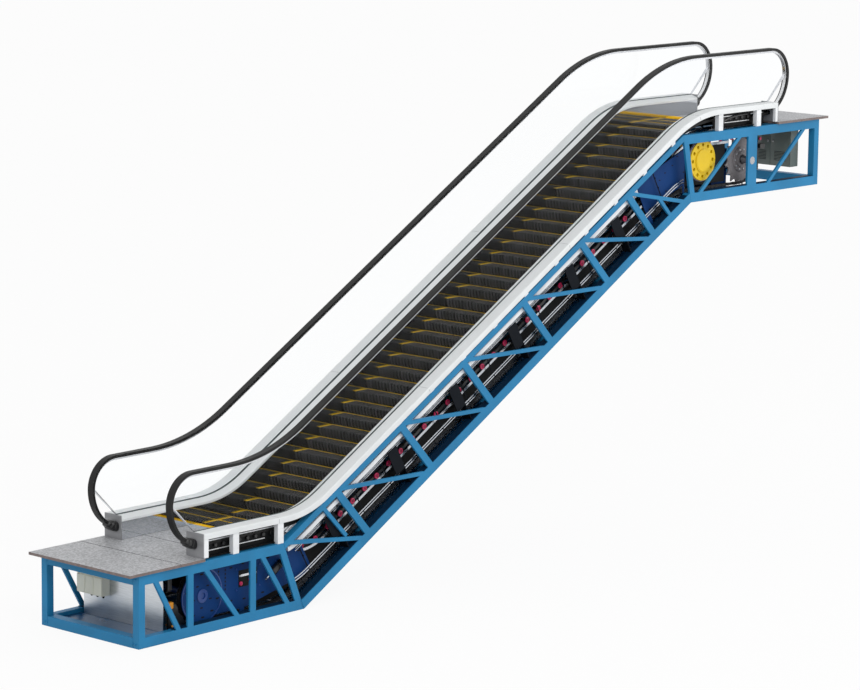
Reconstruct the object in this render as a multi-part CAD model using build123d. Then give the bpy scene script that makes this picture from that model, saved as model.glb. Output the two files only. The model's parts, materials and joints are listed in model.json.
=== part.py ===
from build123d import *
from math import atan2, ceil, cos, hypot, pi, radians, sin, sqrt, tan
import os

os.makedirs("parts", exist_ok=True)

# An escalator of one flight: a lattice truss that carries a band of steps between two glass
# balustrades, with its machinery open to view at both ends. Millimetres, Z up. X runs from the
# lower landing to the upper one, Y across, and the origin is the middle of the underside of
# the lower end beam.

# Truss
truss_width = 1500
upper_level_length = 2571
incline_deg = 30
truss_rise = 3845
lower_level_length = 2404
lower_depth = 785
upper_depth = 825
lower_bend_shift = 322
upper_bend_shift = 179
chord_height = 112
climb_chord_height = 74
chord_width = 90
end_post_width = 95
end_beam_width = 120
web_width = 88
lower_diagonal_width = 60
diagonal_width = 46
web_depth = 30
cross_width = 72
cross_height = 80
thick_post_width = 180
joint_gap = 3
inlet_gap = 6
overrun = 50

# Places of the web members, as shares of the span of the chord that they stand on
lower_post_shares = (0.305, 0.682)
lower_diagonal_shares = ((0.09, 0.26), (0.42, 0.62), (0.82, 0.925))
incline_post_shares = (0.119, 0.270, 0.421, 0.571, 0.721, 0.845)
incline_post_lean = 590
lower_strut_share = 0.085
lower_strut_reach = 410
upper_strut_share = 0.5
upper_strut_reach = 225
upper_diagonal_shares = ((0.02, 0.455), (0.55, 0.93))
main_shaft_run = 1203

# Floor plates, combs and levels
plate_thickness = 30
plate_side_overhang = 30
plate_end_overhang = 150
plate_seam = 4
lower_plate_shares = (0.355, 0.685)
comb_thickness = 30
comb_length = 190
comb_tip_length = 60
comb_tip_thickness = 4
comb_lower_run = 360
comb_upper_run = 1016

# Step band
side_space = 250
step_depth = 222
step_gap = 3
step_thickness = 22
riser_thickness = 14
riser_sweep_deg = 31
tread_drop = 5
nose_knee_offset = 75
nose_lower_radius = 600
nose_upper_radius = 1200
axle_back = 200
axle_drop = 150
axle_diameter = 26
step_rib_thickness = 12
step_rib_inset = 60
step_rib_bite = 3
step_rib_boss = 20
return_run_lift = 165

# Step chain, tracks and sprockets
chain_offset = 60
chain_height = 36
chain_plate = 6
chain_plate_gap = 22
links_per_step = 2
bush_sides = 6
bush_radius = 15
roller_sides = 8
roller_radius = 33
roller_width = 20
roller_seat = 0.3
sprocket_teeth = 16
sprocket_teeth_share = 0.32
sprocket_tip_over = 30
sprocket_root_under = 26
sprocket_thickness = 18
main_shaft_diameter = 95
shaft_seat = 0.3
bearing_clearance = 0.05
track_height = 30
track_width = 18
guard_rise = 140
bracket_thickness = 10
web_sheet_thickness = 4
web_sheet_low = 40
web_sheet_high = 70
bracket_face_width = 150
bracket_face_low = 330
bracket_face_high = 640

# Balustrade
skirt_thickness = 8
skirt_gap = 4
skirt_below_nose = 95
deck_lower_level = 1013
deck_upper_level = 4873
deck_climb_lift = 843
deck_height = 66
deck_side_overhang = 12
deck_shell = 12
deck_lower_radius = 1350
deck_upper_radius = 1650
inner_deck_height = 30
glass_offset = 100
glass_thickness = 10
deck_lower_run = 1529
deck_upper_set_back = 890
rail_width = 80
rail_height = 32
rail_lower_level = 1720
rail_upper_level = 5580
rail_incline_lift = 1690
rail_lower_radius = 2200
rail_upper_radius = 2200
rail_return_gap = 8
newel_radius = 325
newel_lower_run = 25
newel_upper_run = 35
guide_height = 24
guide_width = 34
clamp_height = 18
clamp_width = 34
arm_height = 38
deck_bracket_width = 60
deck_bracket_count = 12
floor_beam_width = 50
floor_beam_height = 95
deck_post_width = 90
deck_post_depth = 60
lower_deck_post_shares = (0.44, 1.0)
upper_deck_post_runs = (600, 1360)
cap_thickness = 12

# Machinery
wheel_radius = 245
wheel_width = 36
wheel_run = 336
wheel_lift = 473
wheel_bolt_circle = 192
wheel_bolts = 12
wheel_bolt_sides = 8
wheel_bolt_hole = 21
wheel_boss_radius = 142
wheel_boss_height = 12
wheel_shaft_diameter = 60
wheel_bearing_radius = 62
wheel_bearing_width = 50
wheel_bearing_inset = 130
wheel_gap = 6
turn_run = 1424
turn_disc_over = 12
turn_disc_thickness = 12
turn_shaft_diameter = 70
side_plate_gap = 4
side_plate_thickness = 10
carriage_bottom = 130
carriage_top = 668
carriage_run = 640
side_leg_width = 70
carriage_window_height = 170
carriage_window_start = 560
carriage_window_end = 830
carriage_climb_low = 240
carriage_climb_high = 700
carriage_climb_reach = 420
drive_plate_low = 300
drive_plate_high = 700
drive_plate_reach = 640
drive_plate_end_run = 40
drive_plate_end_top = 640
drive_plate_end_low = 190
motor_length = 420
motor_radius = 150
gearbox_length = 300
gearbox_width = 300
gearbox_height = 520
gearbox_side = 470
bed_thickness = 24
bed_length = 420
bed_side = 600
machine_run = 900
cabinet_depth = 160
cabinet_width = 620
cabinet_height = 600
cabinet_set_back = 335
cabinet_side = 96
control_box_depth = 120
control_box_width = 390
control_box_height = 200
control_box_y = 197
control_box_drop = 47
partition_x = 420
partition_thickness = 6
partition_side = 48
tray_thickness = 6
pit_tray_top = 70
tray_lap_share = 0.001

# Worked out from the sizes above
slope = radians(incline_deg)
downhill = -1
uphill = 1
downwards = -1
upwards = 1
quarter_turn_deg = 90
half_turn_share = cos(radians(quarter_turn_deg / 2))
half_width = truss_width / 2
end_x = -end_beam_width / 2
lower_bend_x = lower_level_length
upper_bend_x = lower_bend_x + truss_rise / tan(slope)
far_end_x = upper_bend_x + upper_level_length
lower_top_bend_x = lower_bend_x - lower_bend_shift
upper_top_bend_x = upper_bend_x - upper_bend_shift
upper_top = truss_rise + upper_depth
lower_floor = lower_depth + plate_thickness
upper_floor = upper_top + plate_thickness
inner_face = half_width - chord_width
shaft_x = upper_bend_x + main_shaft_run
turn_x = lower_bend_x - turn_run
wheel_x = upper_bend_x + wheel_run
wheel_z = truss_rise + wheel_lift
comb_lower_tip_x = lower_bend_x - comb_lower_run
comb_upper_tip_x = upper_bend_x + comb_upper_run
comb_lower_x = comb_lower_tip_x - comb_length
comb_upper_x = comb_upper_tip_x + comb_length
deck_lower_start = lower_bend_x - deck_lower_run
deck_upper_end = far_end_x - deck_upper_set_back
newel_lower_x = deck_lower_start - newel_lower_run
newel_upper_x = deck_upper_end + newel_upper_run
step_width = truss_width - 2 * side_space
step_side = step_width / 2 - skirt_gap
skirt_outside = step_width / 2 + skirt_thickness
glass_plane = step_width / 2 + glass_offset
deck_outer_plane = half_width + deck_side_overhang


class Rise:
    """A level, a climb at the incline angle and a second level, joined by two arcs."""

    def __init__(self, low, high, knee_x, low_radius, high_radius):
        self.low = low
        self.high = high
        self.knee_x = knee_x
        self.low_radius = low_radius
        self.high_radius = high_radius
        self.top_knee_x = knee_x + (high - low) / tan(slope)

    def offset(self, d):
        """The parallel rise at the distance d above this one."""
        knee = self.knee_x - d * tan(slope / 2)
        return Rise(self.low + d, self.high + d, knee, self.low_radius - d, self.high_radius + d)

    def moved(self, dx, dz):
        knee = self.knee_x + dx
        return Rise(self.low + dz, self.high + dz, knee, self.low_radius, self.high_radius)

    def tangents(self):
        """The four points where the arcs begin and end."""
        a = self.low_radius * tan(slope / 2)
        b = self.high_radius * tan(slope / 2)
        return (
            (self.knee_x - a, self.low),
            (self.knee_x + a * cos(slope), self.low + a * sin(slope)),
            (self.top_knee_x - b * cos(slope), self.high - b * sin(slope)),
            (self.top_knee_x + b, self.high),
        )

    def edges(self, x_start, x_end):
        """The edges from one end to the other, in the XZ plane."""
        t = self.tangents()
        low_centre = (t[0][0], self.low + self.low_radius)
        high_centre = (t[3][0], self.high - self.high_radius)
        half = slope / 2
        low_mid = (
            low_centre[0] + self.low_radius * sin(half),
            low_centre[1] - self.low_radius * cos(half),
        )
        high_mid = (
            high_centre[0] - self.high_radius * sin(half),
            high_centre[1] + self.high_radius * cos(half),
        )
        return [
            line((x_start, self.low), t[0]),
            arc(t[0], low_mid, t[1]),
            line(t[1], t[2]),
            arc(t[2], high_mid, t[3]),
            line(t[3], (x_end, self.high)),
        ]

    def level(self, x):
        """The height of the rise over x."""
        t = self.tangents()
        if x <= t[0][0]:
            return self.low
        if x < t[1][0]:
            return self.low + self.low_radius - sqrt(self.low_radius**2 - (x - t[0][0]) ** 2)
        if x <= t[2][0]:
            return t[1][1] + (x - t[1][0]) * tan(slope)
        if x < t[3][0]:
            return self.high - self.high_radius + sqrt(self.high_radius**2 - (t[3][0] - x) ** 2)
        return self.high

    def at(self, s):
        """The point at the distance s along the rise from the start of its first arc."""
        t = self.tangents()
        low_arc = self.low_radius * slope
        climb = hypot(t[2][0] - t[1][0], t[2][1] - t[1][1])
        high_arc = self.high_radius * slope
        if s < 0:
            return (t[0][0] + s, self.low)
        if s < low_arc:
            a = s / self.low_radius
            return (t[0][0] + self.low_radius * sin(a), self.low + self.low_radius * (1 - cos(a)))
        s -= low_arc
        if s < climb:
            return (t[1][0] + s * cos(slope), t[1][1] + s * sin(slope))
        s -= climb
        if s < high_arc:
            a = slope - s / self.high_radius
            x = t[3][0] - self.high_radius * sin(a)
            return (x, self.high - self.high_radius * (1 - cos(a)))
        return (t[3][0] + s - high_arc, self.high)

    def lean(self, s):
        """The angle of climb at the distance s."""
        t = self.tangents()
        climb = hypot(t[2][0] - t[1][0], t[2][1] - t[1][1])
        rising = min(max(s / self.low_radius, 0), slope)
        past = s - self.low_radius * slope - climb
        return rising - min(max(past / self.high_radius, 0), slope)

    def length_to(self, x_end):
        """The distance along the rise from the start of its first arc to the end x_end."""
        t = self.tangents()
        climb = hypot(t[2][0] - t[1][0], t[2][1] - t[1][1])
        return self.low_radius * slope + climb + self.high_radius * slope + x_end - t[3][0]


def line(p, q):
    return Edge.make_line(Vector(p[0], 0, p[1]), Vector(q[0], 0, q[1]))


def arc(p, m, q):
    points = [Vector(v[0], 0, v[1]) for v in (p, m, q)]
    return Edge.make_three_point_arc(*points)


def plate(edges, y_low, y_high):
    """A closed outline in the XZ plane, given depth from y_low to y_high."""
    face = Face(Wire(edges))
    solid = extrude(face, amount=y_high - y_low, dir=(0, 1, 0))
    return Pos(0, y_low, 0) * solid


def polygon(points, y_low, y_high):
    ends = list(points[1:]) + [points[0]]
    return plate([line(p, q) for p, q in zip(points, ends)], y_low, y_high)


def bar(p, q, width, y_low, y_high):
    """A flat bar along the line from p to q."""
    length = hypot(q[0] - p[0], q[1] - p[1])
    nx = -(q[1] - p[1]) / length * width / 2
    nz = (q[0] - p[0]) / length * width / 2
    corners = [(v[0] + side * nx, v[1] + side * nz) for v, side in ((p, 1), (p, -1), (q, -1), (q, 1))]
    return polygon(corners, y_low, y_high)


def box(x_low, x_high, y_low, y_high, z_low, z_high):
    corner = Pos(x_low, y_low, z_low)
    return corner * Box(
        x_high - x_low, y_high - y_low, z_high - z_low, align=(Align.MIN, Align.MIN, Align.MIN)
    )


def disc(x, z, radius, y_low, y_high):
    turn = Rot(-quarter_turn_deg, 0, 0)
    flat = turn * Cylinder(radius, y_high - y_low, align=(Align.CENTER, Align.CENTER, Align.MIN))
    return Pos(x, y_low, z) * flat


def band(low, high, x_start, x_end, y_low, y_high):
    """A plate between two rises."""
    ends = [
        line((x_start, low.low), (x_start, high.low)),
        line((x_end, low.high), (x_end, high.high)),
    ]
    return plate(low.edges(x_start, x_end) + high.edges(x_start, x_end) + ends, y_low, y_high)


def mirrored(shape):
    return mirror(shape, about=Plane.XZ)


def save(shape, name):
    export_step(shape, "parts/" + name + ".step")


def group(shapes):
    """Like solids that share a node and don't touch."""
    solids = []
    for shape in shapes:
        solids.extend(shape.solids())
    return Compound(children=solids)


def save_pair(shape, name):
    save(shape, name + "_near")
    save(mirrored(shape), name + "_far")


def both(shapes):
    """The shapes and their mirror images on the far side, as one piece."""
    return group(shapes + [mirrored(shape) for shape in shapes])


# The rise of the step noses leads every other line of the flight
nose = Rise(
    lower_floor - tread_drop,
    upper_floor - tread_drop,
    lower_bend_x + nose_knee_offset,
    nose_lower_radius,
    nose_upper_radius,
)


def deck_line(lift):
    """A rise above the undersides of the decks, with the wide bends of the balustrade."""
    knee = lower_bend_x + (deck_lower_level - deck_climb_lift / cos(slope)) / tan(slope)
    base = Rise(deck_lower_level, deck_upper_level, knee, deck_lower_radius, deck_upper_radius)
    flat = base.offset(lift)
    return Rise(flat.low, flat.high, flat.knee_x, deck_lower_radius, deck_upper_radius)


def between(a, b, share):
    return (a[0] + (b[0] - a[0]) * share, a[1] + (b[1] - a[1]) * share)


lower_outline = ((end_x, 0), (lower_bend_x, 0), (lower_top_bend_x, lower_depth), (end_x, lower_depth))
incline_outline = (
    (lower_bend_x, 0),
    (upper_bend_x, truss_rise),
    (upper_top_bend_x, upper_top),
    (lower_top_bend_x, lower_depth),
)
upper_outline = (
    (upper_bend_x, truss_rise),
    (far_end_x, truss_rise),
    (far_end_x, upper_top),
    (upper_top_bend_x, upper_top),
)


def inset(a, b, distance):
    """The line from a to b, moved to its left by a distance."""
    length = hypot(b[0] - a[0], b[1] - a[1])
    dx = -(b[1] - a[1]) / length * distance
    dz = (b[0] - a[0]) / length * distance
    return (a[0] + dx, a[1] + dz), (b[0] + dx, b[1] + dz)


def edge_bar(a, b, width, depth):
    """A chord or post whose outer edge lies on the line from a to b."""
    p, q = inset(a, b, width / 2)
    ux, uz = (q[0] - p[0]), (q[1] - p[1])
    length = hypot(ux, uz)
    reach = chord_height
    p = (p[0] - ux / length * reach, p[1] - uz / length * reach)
    q = (q[0] + ux / length * reach, q[1] + uz / length * reach)
    return bar(p, q, width, -half_width, -half_width + depth)


def web(p, q, width=web_width):
    return bar(p, q, width, -half_width, -half_width + web_depth)


def side_frame(outline, bars):
    """A flat lattice side, its bars cut off at the outline."""
    frame = bars[0]
    for piece in bars[1:]:
        frame = frame + piece
    return frame & polygon(outline, -half_width, half_width)


def lower_side():
    a, b, c, d = lower_outline
    bars = [
        edge_bar(a, b, chord_height, chord_width),
        edge_bar(c, d, chord_height, chord_width),
        edge_bar(d, a, end_post_width, chord_width),
        edge_bar(b, c, web_width, web_depth),
    ]
    for share in lower_post_shares:
        x = a[0] + (b[0] - a[0]) * share
        bars.append(web((x, 0), (x, lower_depth)))
    for top, foot in lower_diagonal_shares:
        bars.append(web(between(d, c, top), between(a, b, foot), lower_diagonal_width))
    return side_frame(lower_outline, bars)


def incline_side():
    a, b, c, d = incline_outline
    bars = [
        edge_bar(a, b, chord_height, chord_width),
        edge_bar(c, d, climb_chord_height, chord_width),
    ]
    tops = [between(d, c, share) for share in incline_post_shares]
    feet = []
    for top in tops:
        x = top[0] + incline_post_lean
        feet.append((x, (x - lower_bend_x) * tan(slope)))
    for top, foot in zip(tops, feet):
        bars.append(web(top, foot))
    diagonals = list(zip([d] + tops, feet + [b]))
    for top, foot in diagonals:
        bars.append(web(top, foot, diagonal_width))
    top = between(d, c, lower_strut_share)
    bars.append(web(top, (top[0] + lower_strut_reach, top[1] - lower_strut_reach), diagonal_width))
    top = between(*diagonals[-1], upper_strut_share)
    bars.append(web(top, (top[0] + upper_strut_reach, top[1] - upper_strut_reach), diagonal_width))
    return side_frame(incline_outline, bars)


def upper_side():
    a, b, c, d = upper_outline
    bars = [
        edge_bar(a, b, chord_height, chord_width),
        edge_bar(c, d, chord_height, chord_width),
        edge_bar(b, c, end_post_width, chord_width),
        edge_bar(d, a, web_width, web_depth),
        web((shaft_x, truss_rise), (shaft_x, upper_top), thick_post_width),
    ]
    for foot, top in upper_diagonal_shares:
        bars.append(web(between(a, b, foot), between(d, c, top), diagonal_width))
    frame = side_frame(upper_outline, bars)
    bore = main_shaft_diameter / 2 + shaft_seat
    return frame - disc(shaft_x, shaft_z, bore, -half_width - overrun, -inner_face + overrun)


def end_beams(x_low, x_high, z_low, z_high):
    """The two beams that close one end of the truss, between its corner posts."""
    y = inner_face
    lower = box(x_low, x_high, -y, y, z_low, z_low + chord_height)
    upper = box(x_low, x_high, -y, y, z_high - chord_height, z_high)
    return [lower, upper]


def cross_members():
    """Beams from side to side, one at the foot of each post of the climb."""
    beams = []
    a, b, c, d = incline_outline
    for share in incline_post_shares:
        x = between(d, c, share)[0] + incline_post_lean
        z = (x - lower_bend_x) * tan(slope)
        piece = Pos(x, 0, z) * Rot(0, -incline_deg, 0) * box(
            -cross_width / 2, cross_width / 2, -inner_face, inner_face, tray_thickness, cross_height
        )
        beams.append(piece)
    return beams


def trays():
    """Thin plates that close the underside between the bottom chords."""
    y = inner_face
    x = partition_x + partition_thickness
    lower = box(end_x + end_beam_width, x, -y, y, pit_tray_top - tray_thickness, pit_tray_top)
    lower = lower + box(partition_x, x, -y, y, 0, pit_tray_top)
    lower = lower + box(partition_x, lower_bend_x, -y, y, 0, tray_thickness)
    a, b, c, d = incline_outline
    p, q = inset(a, b, tray_thickness / 2)
    incline = bar(between(p, q, tray_lap_share), between(p, q, 1 - tray_lap_share), tray_thickness, -y, y)
    upper = box(upper_bend_x, shaft_x, -y, y, truss_rise, truss_rise + tray_thickness)
    return lower, incline, upper


def lower_floor_cuts():
    """Where the lower floor plates begin and end along the truss."""
    x_low = end_x - plate_end_overhang
    x_high = comb_lower_x
    return [x_low] + [x_low + (x_high - x_low) * s for s in lower_plate_shares] + [x_high]


def lower_floor_plates():
    """Three lift-out plates over the lower machine space."""
    plates = []
    y = half_width + plate_side_overhang
    cuts = lower_floor_cuts()
    x_high = comb_lower_x
    for left, right in zip(cuts, cuts[1:]):
        gap = plate_seam if right != x_high else 0
        plates.append(box(left, right - gap, -y, y, lower_depth, lower_floor))
    past = box(deck_lower_start, comb_lower_x + overrun, step_side, y + overrun, lower_depth, lower_floor)
    return [p - past - mirrored(past) for p in plates]


def upper_floor_plates():
    x_low = comb_upper_x
    x_high = far_end_x + plate_end_overhang
    y = half_width + plate_side_overhang
    cut = deck_upper_end
    narrow = box(x_low, cut - plate_seam, -step_side, step_side, upper_top, upper_floor)
    wide = box(cut, x_high, -y, y, upper_top, upper_floor)
    return [narrow, wide]


def comb_plate(x_root, direction, floor):
    """A comb plate whose thin lip reaches over the first tread."""
    tip = x_root + direction * comb_length
    neck = tip - direction * comb_tip_length
    points = [
        (x_root, floor),
        (tip, floor),
        (tip, floor - comb_tip_thickness),
        (neck, floor - comb_tip_thickness),
        (neck, floor - comb_thickness),
        (x_root, floor - comb_thickness),
    ]
    return polygon(points, -step_side, step_side)


def step(x, z):
    """One step: a tread, a riser curved about the tread's rear edge, ribs and an axle."""
    y = step_side
    r = step_depth
    a = radians(riser_sweep_deg)

    def ring(radius, angle):
        return (x + r - radius * cos(angle), z - radius * sin(angle))

    inner = r - riser_thickness
    under = z - step_thickness
    start = atan2(step_thickness, sqrt(inner**2 - step_thickness**2))
    edges = [
        line((x, z), (x + r, z)),
        line((x + r, z), (x + r, under)),
        line((x + r, under), ring(inner, start)),
        arc(ring(inner, start), ring(inner, (start + a) / 2), ring(inner, a)),
        line(ring(inner, a), ring(r, a)),
        arc(ring(r, a), ring(r, a / 2), (x, z)),
    ]
    body = plate(edges, -y, y)
    axle_x = x + axle_back
    axle_z = z - axle_drop
    bite = r - step_rib_bite
    boss = step_rib_boss
    outline = [
        (x + r, under + step_rib_bite),
        (axle_x + boss, axle_z),
        (axle_x + boss, axle_z - boss),
        (axle_x - boss, axle_z - boss),
        ring(bite, a),
        ring(bite, start),
    ]
    for side in (-1, 1):
        centre = side * (y - step_rib_inset)
        half = step_rib_thickness / 2
        body = body + polygon(outline, centre - half, centre + half)
    reach = chain_plane - chain_plate_gap / 2 - chain_plate
    return body + prism((axle_x, axle_z, 0), bush_sides, axle_diameter / 2, -reach, reach)


step_pitch = step_depth + step_gap


def step_distances():
    """Where the steps in view lie along the rise, from under one comb to under the other."""
    first = comb_lower_tip_x - comb_tip_length + step_gap
    start = ceil((nose.tangents()[0][0] - first) / step_pitch - 1)
    last = comb_upper_tip_x + comb_tip_length - step_gap - step_depth
    count = int(nose.length_to(last) / step_pitch) + 1
    return [k * step_pitch for k in range(-start, count)]


def steps():
    return [step(*nose.at(s)) for s in step_distances()]


chain_upper = nose.moved(axle_back, -axle_drop)
chain_plane = step_width / 2 + chain_offset
link_pitch = step_pitch / links_per_step
chain_radius = link_pitch / (2 * sin(pi / sprocket_teeth))
shaft_z = chain_upper.high - chain_radius
sprocket_tip_radius = chain_radius + sprocket_tip_over
sprocket_root_radius = chain_radius - sprocket_root_under
turn_z = chain_upper.low - chain_radius
chain_lower = Rise(
    turn_z - chain_radius,
    shaft_z - chain_radius,
    lower_bend_x + (turn_z - chain_radius - return_run_lift / cos(slope)) / tan(slope),
    nose_upper_radius,
    nose_lower_radius,
)


def chain_loop(grow):
    """The closed line of the step chain, moved outwards by grow."""
    up = chain_upper.offset(grow)
    down = chain_lower.offset(-grow)
    radius = chain_radius + grow
    return (
        up.edges(turn_x, shaft_x)
        + down.edges(turn_x, shaft_x)
        + [
            arc((shaft_x, up.high), (shaft_x + radius, shaft_z), (shaft_x, down.high)),
            arc((turn_x, up.low), (turn_x - radius, turn_z), (turn_x, down.low)),
        ]
    )


def chain(y):
    half = chain_height / 2
    solid = plate(chain_loop(half), y - chain_plate / 2, y + chain_plate / 2)
    hole = plate(chain_loop(-half), y - overrun, y + overrun)
    return solid - hole


web_sheet_y = -chain_plane + chain_plate_gap / 2 + chain_plate + side_plate_gap
roller_plane = chain_plane + chain_plate_gap / 2 + chain_plate + roller_width / 2
track_out = roller_plane + track_width / 2
side_plate_in = roller_plane + roller_width / 2 + side_plate_gap
side_plate_out = side_plate_in + side_plate_thickness
wheel_plane = side_plate_out + wheel_gap + wheel_width / 2


def track(rise, drop, x_start, x_end):
    """A rail along one run of the chain, on the near side."""
    high = rise.offset(-drop)
    low = rise.offset(-drop - track_height)
    return band(low, high, x_start, x_end, -track_out, -track_out + track_width)


def main_tracks():
    """The rail under the rollers of the loaded run and the guard rail over it."""
    return [
        track(chain_upper, roller_radius + roller_seat, turn_x + chain_radius, shaft_x - chain_radius),
        track(chain_upper, -guard_rise, comb_lower_tip_x, comb_upper_tip_x),
    ]


def return_track():
    return track(chain_lower, chain_height / 2, turn_x + chain_radius, shaft_x - chain_radius)


def prism(place, sides, apothem, y_low, y_high):
    """An even-sided bar along Y with a flat side down on the slope of its place."""
    x, z, lean = place
    corner = apothem / cos(pi / sides)
    turn = 2 * pi / sides
    first = lean - pi / 2 + turn / 2
    points = []
    for k in range(sides):
        a = first + k * turn
        points.append((x + corner * cos(a), z + corner * sin(a)))
    return polygon(points, y_low, y_high)


def axle_places():
    """The middle of each step's axle, with the slope there."""
    places = []
    for s in step_distances():
        x, z = nose.at(s)
        places.append((x + axle_back, z - axle_drop, nose.lean(s)))
    return places


def rollers():
    half = roller_width / 2
    return [
        prism(place, roller_sides, roller_radius, -roller_plane - half, -roller_plane + half)
        for place in axle_places()
    ]


def bushes():
    """The pins that join the inner and outer plates of the chain."""
    half = chain_plate_gap / 2
    return [
        prism(place, bush_sides, bush_radius, -chain_plane - half, -chain_plane + half)
        for place in axle_places()
    ]


def track_brackets():
    """Plates that carry the tracks on the truss, one at each post."""
    a, b, c, d = incline_outline
    half = bracket_thickness / 2
    y_out = -half_width + web_depth
    y_chain = -side_plate_in
    y_track = -track_out
    rails = (
        chain_lower.offset(-chain_height / 2),
        chain_upper.offset(-roller_radius - roller_seat),
        chain_upper.offset(guard_rise),
    )
    tops = [incline_lift(rail_top) for rail_top in rails]
    piece = box(-half, half, y_out, y_chain, chord_height, tops[-1])
    piece = piece + box(
        -bracket_face_width, half, y_out, y_out + bracket_thickness, bracket_face_low, bracket_face_high
    )
    for top in tops:
        piece = piece + box(-half, half, y_chain, y_track, top - track_height, top)
    low = incline_lift(chain_lower.offset(web_sheet_low))
    high = incline_lift(chain_upper.offset(-web_sheet_high))
    arm_low = (low + high - track_height) / 2
    piece = piece + box(-half, half, y_chain, web_sheet_y, arm_low, arm_low + track_height)
    plates = []
    for share in incline_post_shares:
        x = between(a, b, share)[0]
        z = (x - lower_bend_x) * tan(slope)
        plates.append(Pos(x, 0, z) * Rot(0, -incline_deg, 0) * piece)
    return plates


def incline_lift(rise):
    """How far the climb of a rise lies above the underside of the truss, square to it."""
    return (rise.low + (lower_bend_x - rise.knee_x) * tan(slope)) * cos(slope)


def sprocket(x, z, y_low, y_high):
    """A toothed wheel whose valleys meet the pins of the chain as it runs on at the top."""
    turn = 2 * pi / sprocket_teeth
    lead = (x - axle_places()[-1][0]) % link_pitch
    valley = pi / 2 + lead / chain_radius
    low = sprocket_teeth_share
    corners = ((0, sprocket_tip_radius), (low, sprocket_root_radius), (1 - low, sprocket_root_radius))
    points = []
    for k in range(sprocket_teeth):
        for share, radius in corners:
            a = valley + (k + share - 1 / 2) * turn
            points.append((x + radius * cos(a), z + radius * sin(a)))
    wheel = polygon(points, y_low, y_high)
    return wheel - disc(x, z, main_shaft_diameter / 2, y_low - overrun, y_high + overrun)


def rail_line():
    """The rise of the handrail's middle, steeper off the steps than on the landings."""
    knee = lower_bend_x + (rail_lower_level - rail_incline_lift / cos(slope)) / tan(slope)
    return Rise(rail_lower_level, rail_upper_level, knee, rail_lower_radius, rail_upper_radius)


rail = rail_line()
rail_back = deck_line(-clamp_height - arm_height - rail_return_gap - rail_height / 2)
newel_low_z = rail.low - newel_radius
newel_high_z = rail.high - newel_radius


def rail_loop(grow):
    """The closed line of the handrail, moved outwards by grow."""
    up = rail.offset(grow)
    back = rail_back.offset(-grow)
    r = newel_radius + grow
    low_tail = newel_low_z - back.low
    high_tail = newel_high_z - back.high
    edges = up.edges(newel_lower_x, newel_upper_x)
    edges += [
        arc(
            (newel_lower_x, up.low),
            ring_point(newel_lower_x, newel_low_z, r, downhill, upwards),
            (newel_lower_x - r, newel_low_z),
        ),
        arc(
            (newel_upper_x, up.high),
            ring_point(newel_upper_x, newel_high_z, r, uphill, upwards),
            (newel_upper_x + r, newel_high_z),
        ),
    ]
    low_centre = lower_tail_x()
    high_centre = upper_tail_x()
    edges += [
        arc(
            (newel_lower_x - r, newel_low_z),
            ring_point(low_centre, newel_low_z, low_tail, downhill, downwards),
            (low_centre, back.low),
        ),
        arc(
            (newel_upper_x + r, newel_high_z),
            ring_point(high_centre, newel_high_z, high_tail, uphill, downwards),
            (high_centre, back.high),
        ),
    ]
    return edges + back.edges(low_centre, high_centre)


def ring_point(x, z, radius, across, up):
    """The point half way round the quarter of a ring that lies across and up from its centre."""
    return (x + across * radius * half_turn_share, z + up * radius * half_turn_share)


def handrail():
    half = rail_height / 2
    y = -glass_plane
    solid = plate(rail_loop(half), y - rail_width / 2, y + rail_width / 2)
    hole = plate(rail_loop(-half), y - rail_width, y + rail_width)
    return solid - hole


glass_foot = deck_line(0)
lower_cap_top = deck_lower_level + deck_height + joint_gap
upper_cap_top = deck_upper_level + deck_height + joint_gap


def newel_outline(grow, foot, x_low, x_high):
    """The outline of the glass: a foot rise, the handrail's rise and round ends."""
    top = rail.offset(grow)
    r = newel_radius + grow
    return (
        foot.edges(x_low, x_high)
        + top.edges(newel_lower_x, newel_upper_x)
        + [
            arc(
                (newel_lower_x, top.low),
                ring_point(newel_lower_x, newel_low_z, r, downhill, upwards),
                (newel_lower_x - r, newel_low_z),
            ),
            arc(
                (newel_upper_x, top.high),
                ring_point(newel_upper_x, newel_high_z, r, uphill, upwards),
                (newel_upper_x + r, newel_high_z),
            ),
            line((newel_lower_x - r, newel_low_z), (x_low, lower_cap_top)),
            line((x_low, lower_cap_top), (x_low, foot.low)),
            line((newel_upper_x + r, newel_high_z), (x_high, upper_cap_top)),
            line((x_high, upper_cap_top), (x_high, foot.high)),
        ]
    )


def glass():
    grow = -rail_height / 2 - guide_height
    y = -glass_plane
    low = deck_lower_start + joint_gap
    high = deck_upper_end - joint_gap
    half = glass_thickness / 2
    return plate(newel_outline(grow, glass_foot, low, high), y - half, y + half)


def glass_clamp():
    """The rail that the foot of the glass stands in."""
    y = -glass_plane
    half = clamp_width / 2
    return band(deck_line(-clamp_height), glass_foot, deck_lower_start, deck_upper_end, y - half, y + half)


def truss_top(x):
    """The height of the top of the truss over x."""
    if x <= lower_top_bend_x:
        return lower_depth
    if x >= upper_top_bend_x:
        return upper_top
    share = (x - lower_top_bend_x) / (upper_top_bend_x - lower_top_bend_x)
    return lower_depth + share * (upper_top - lower_depth)


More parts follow.
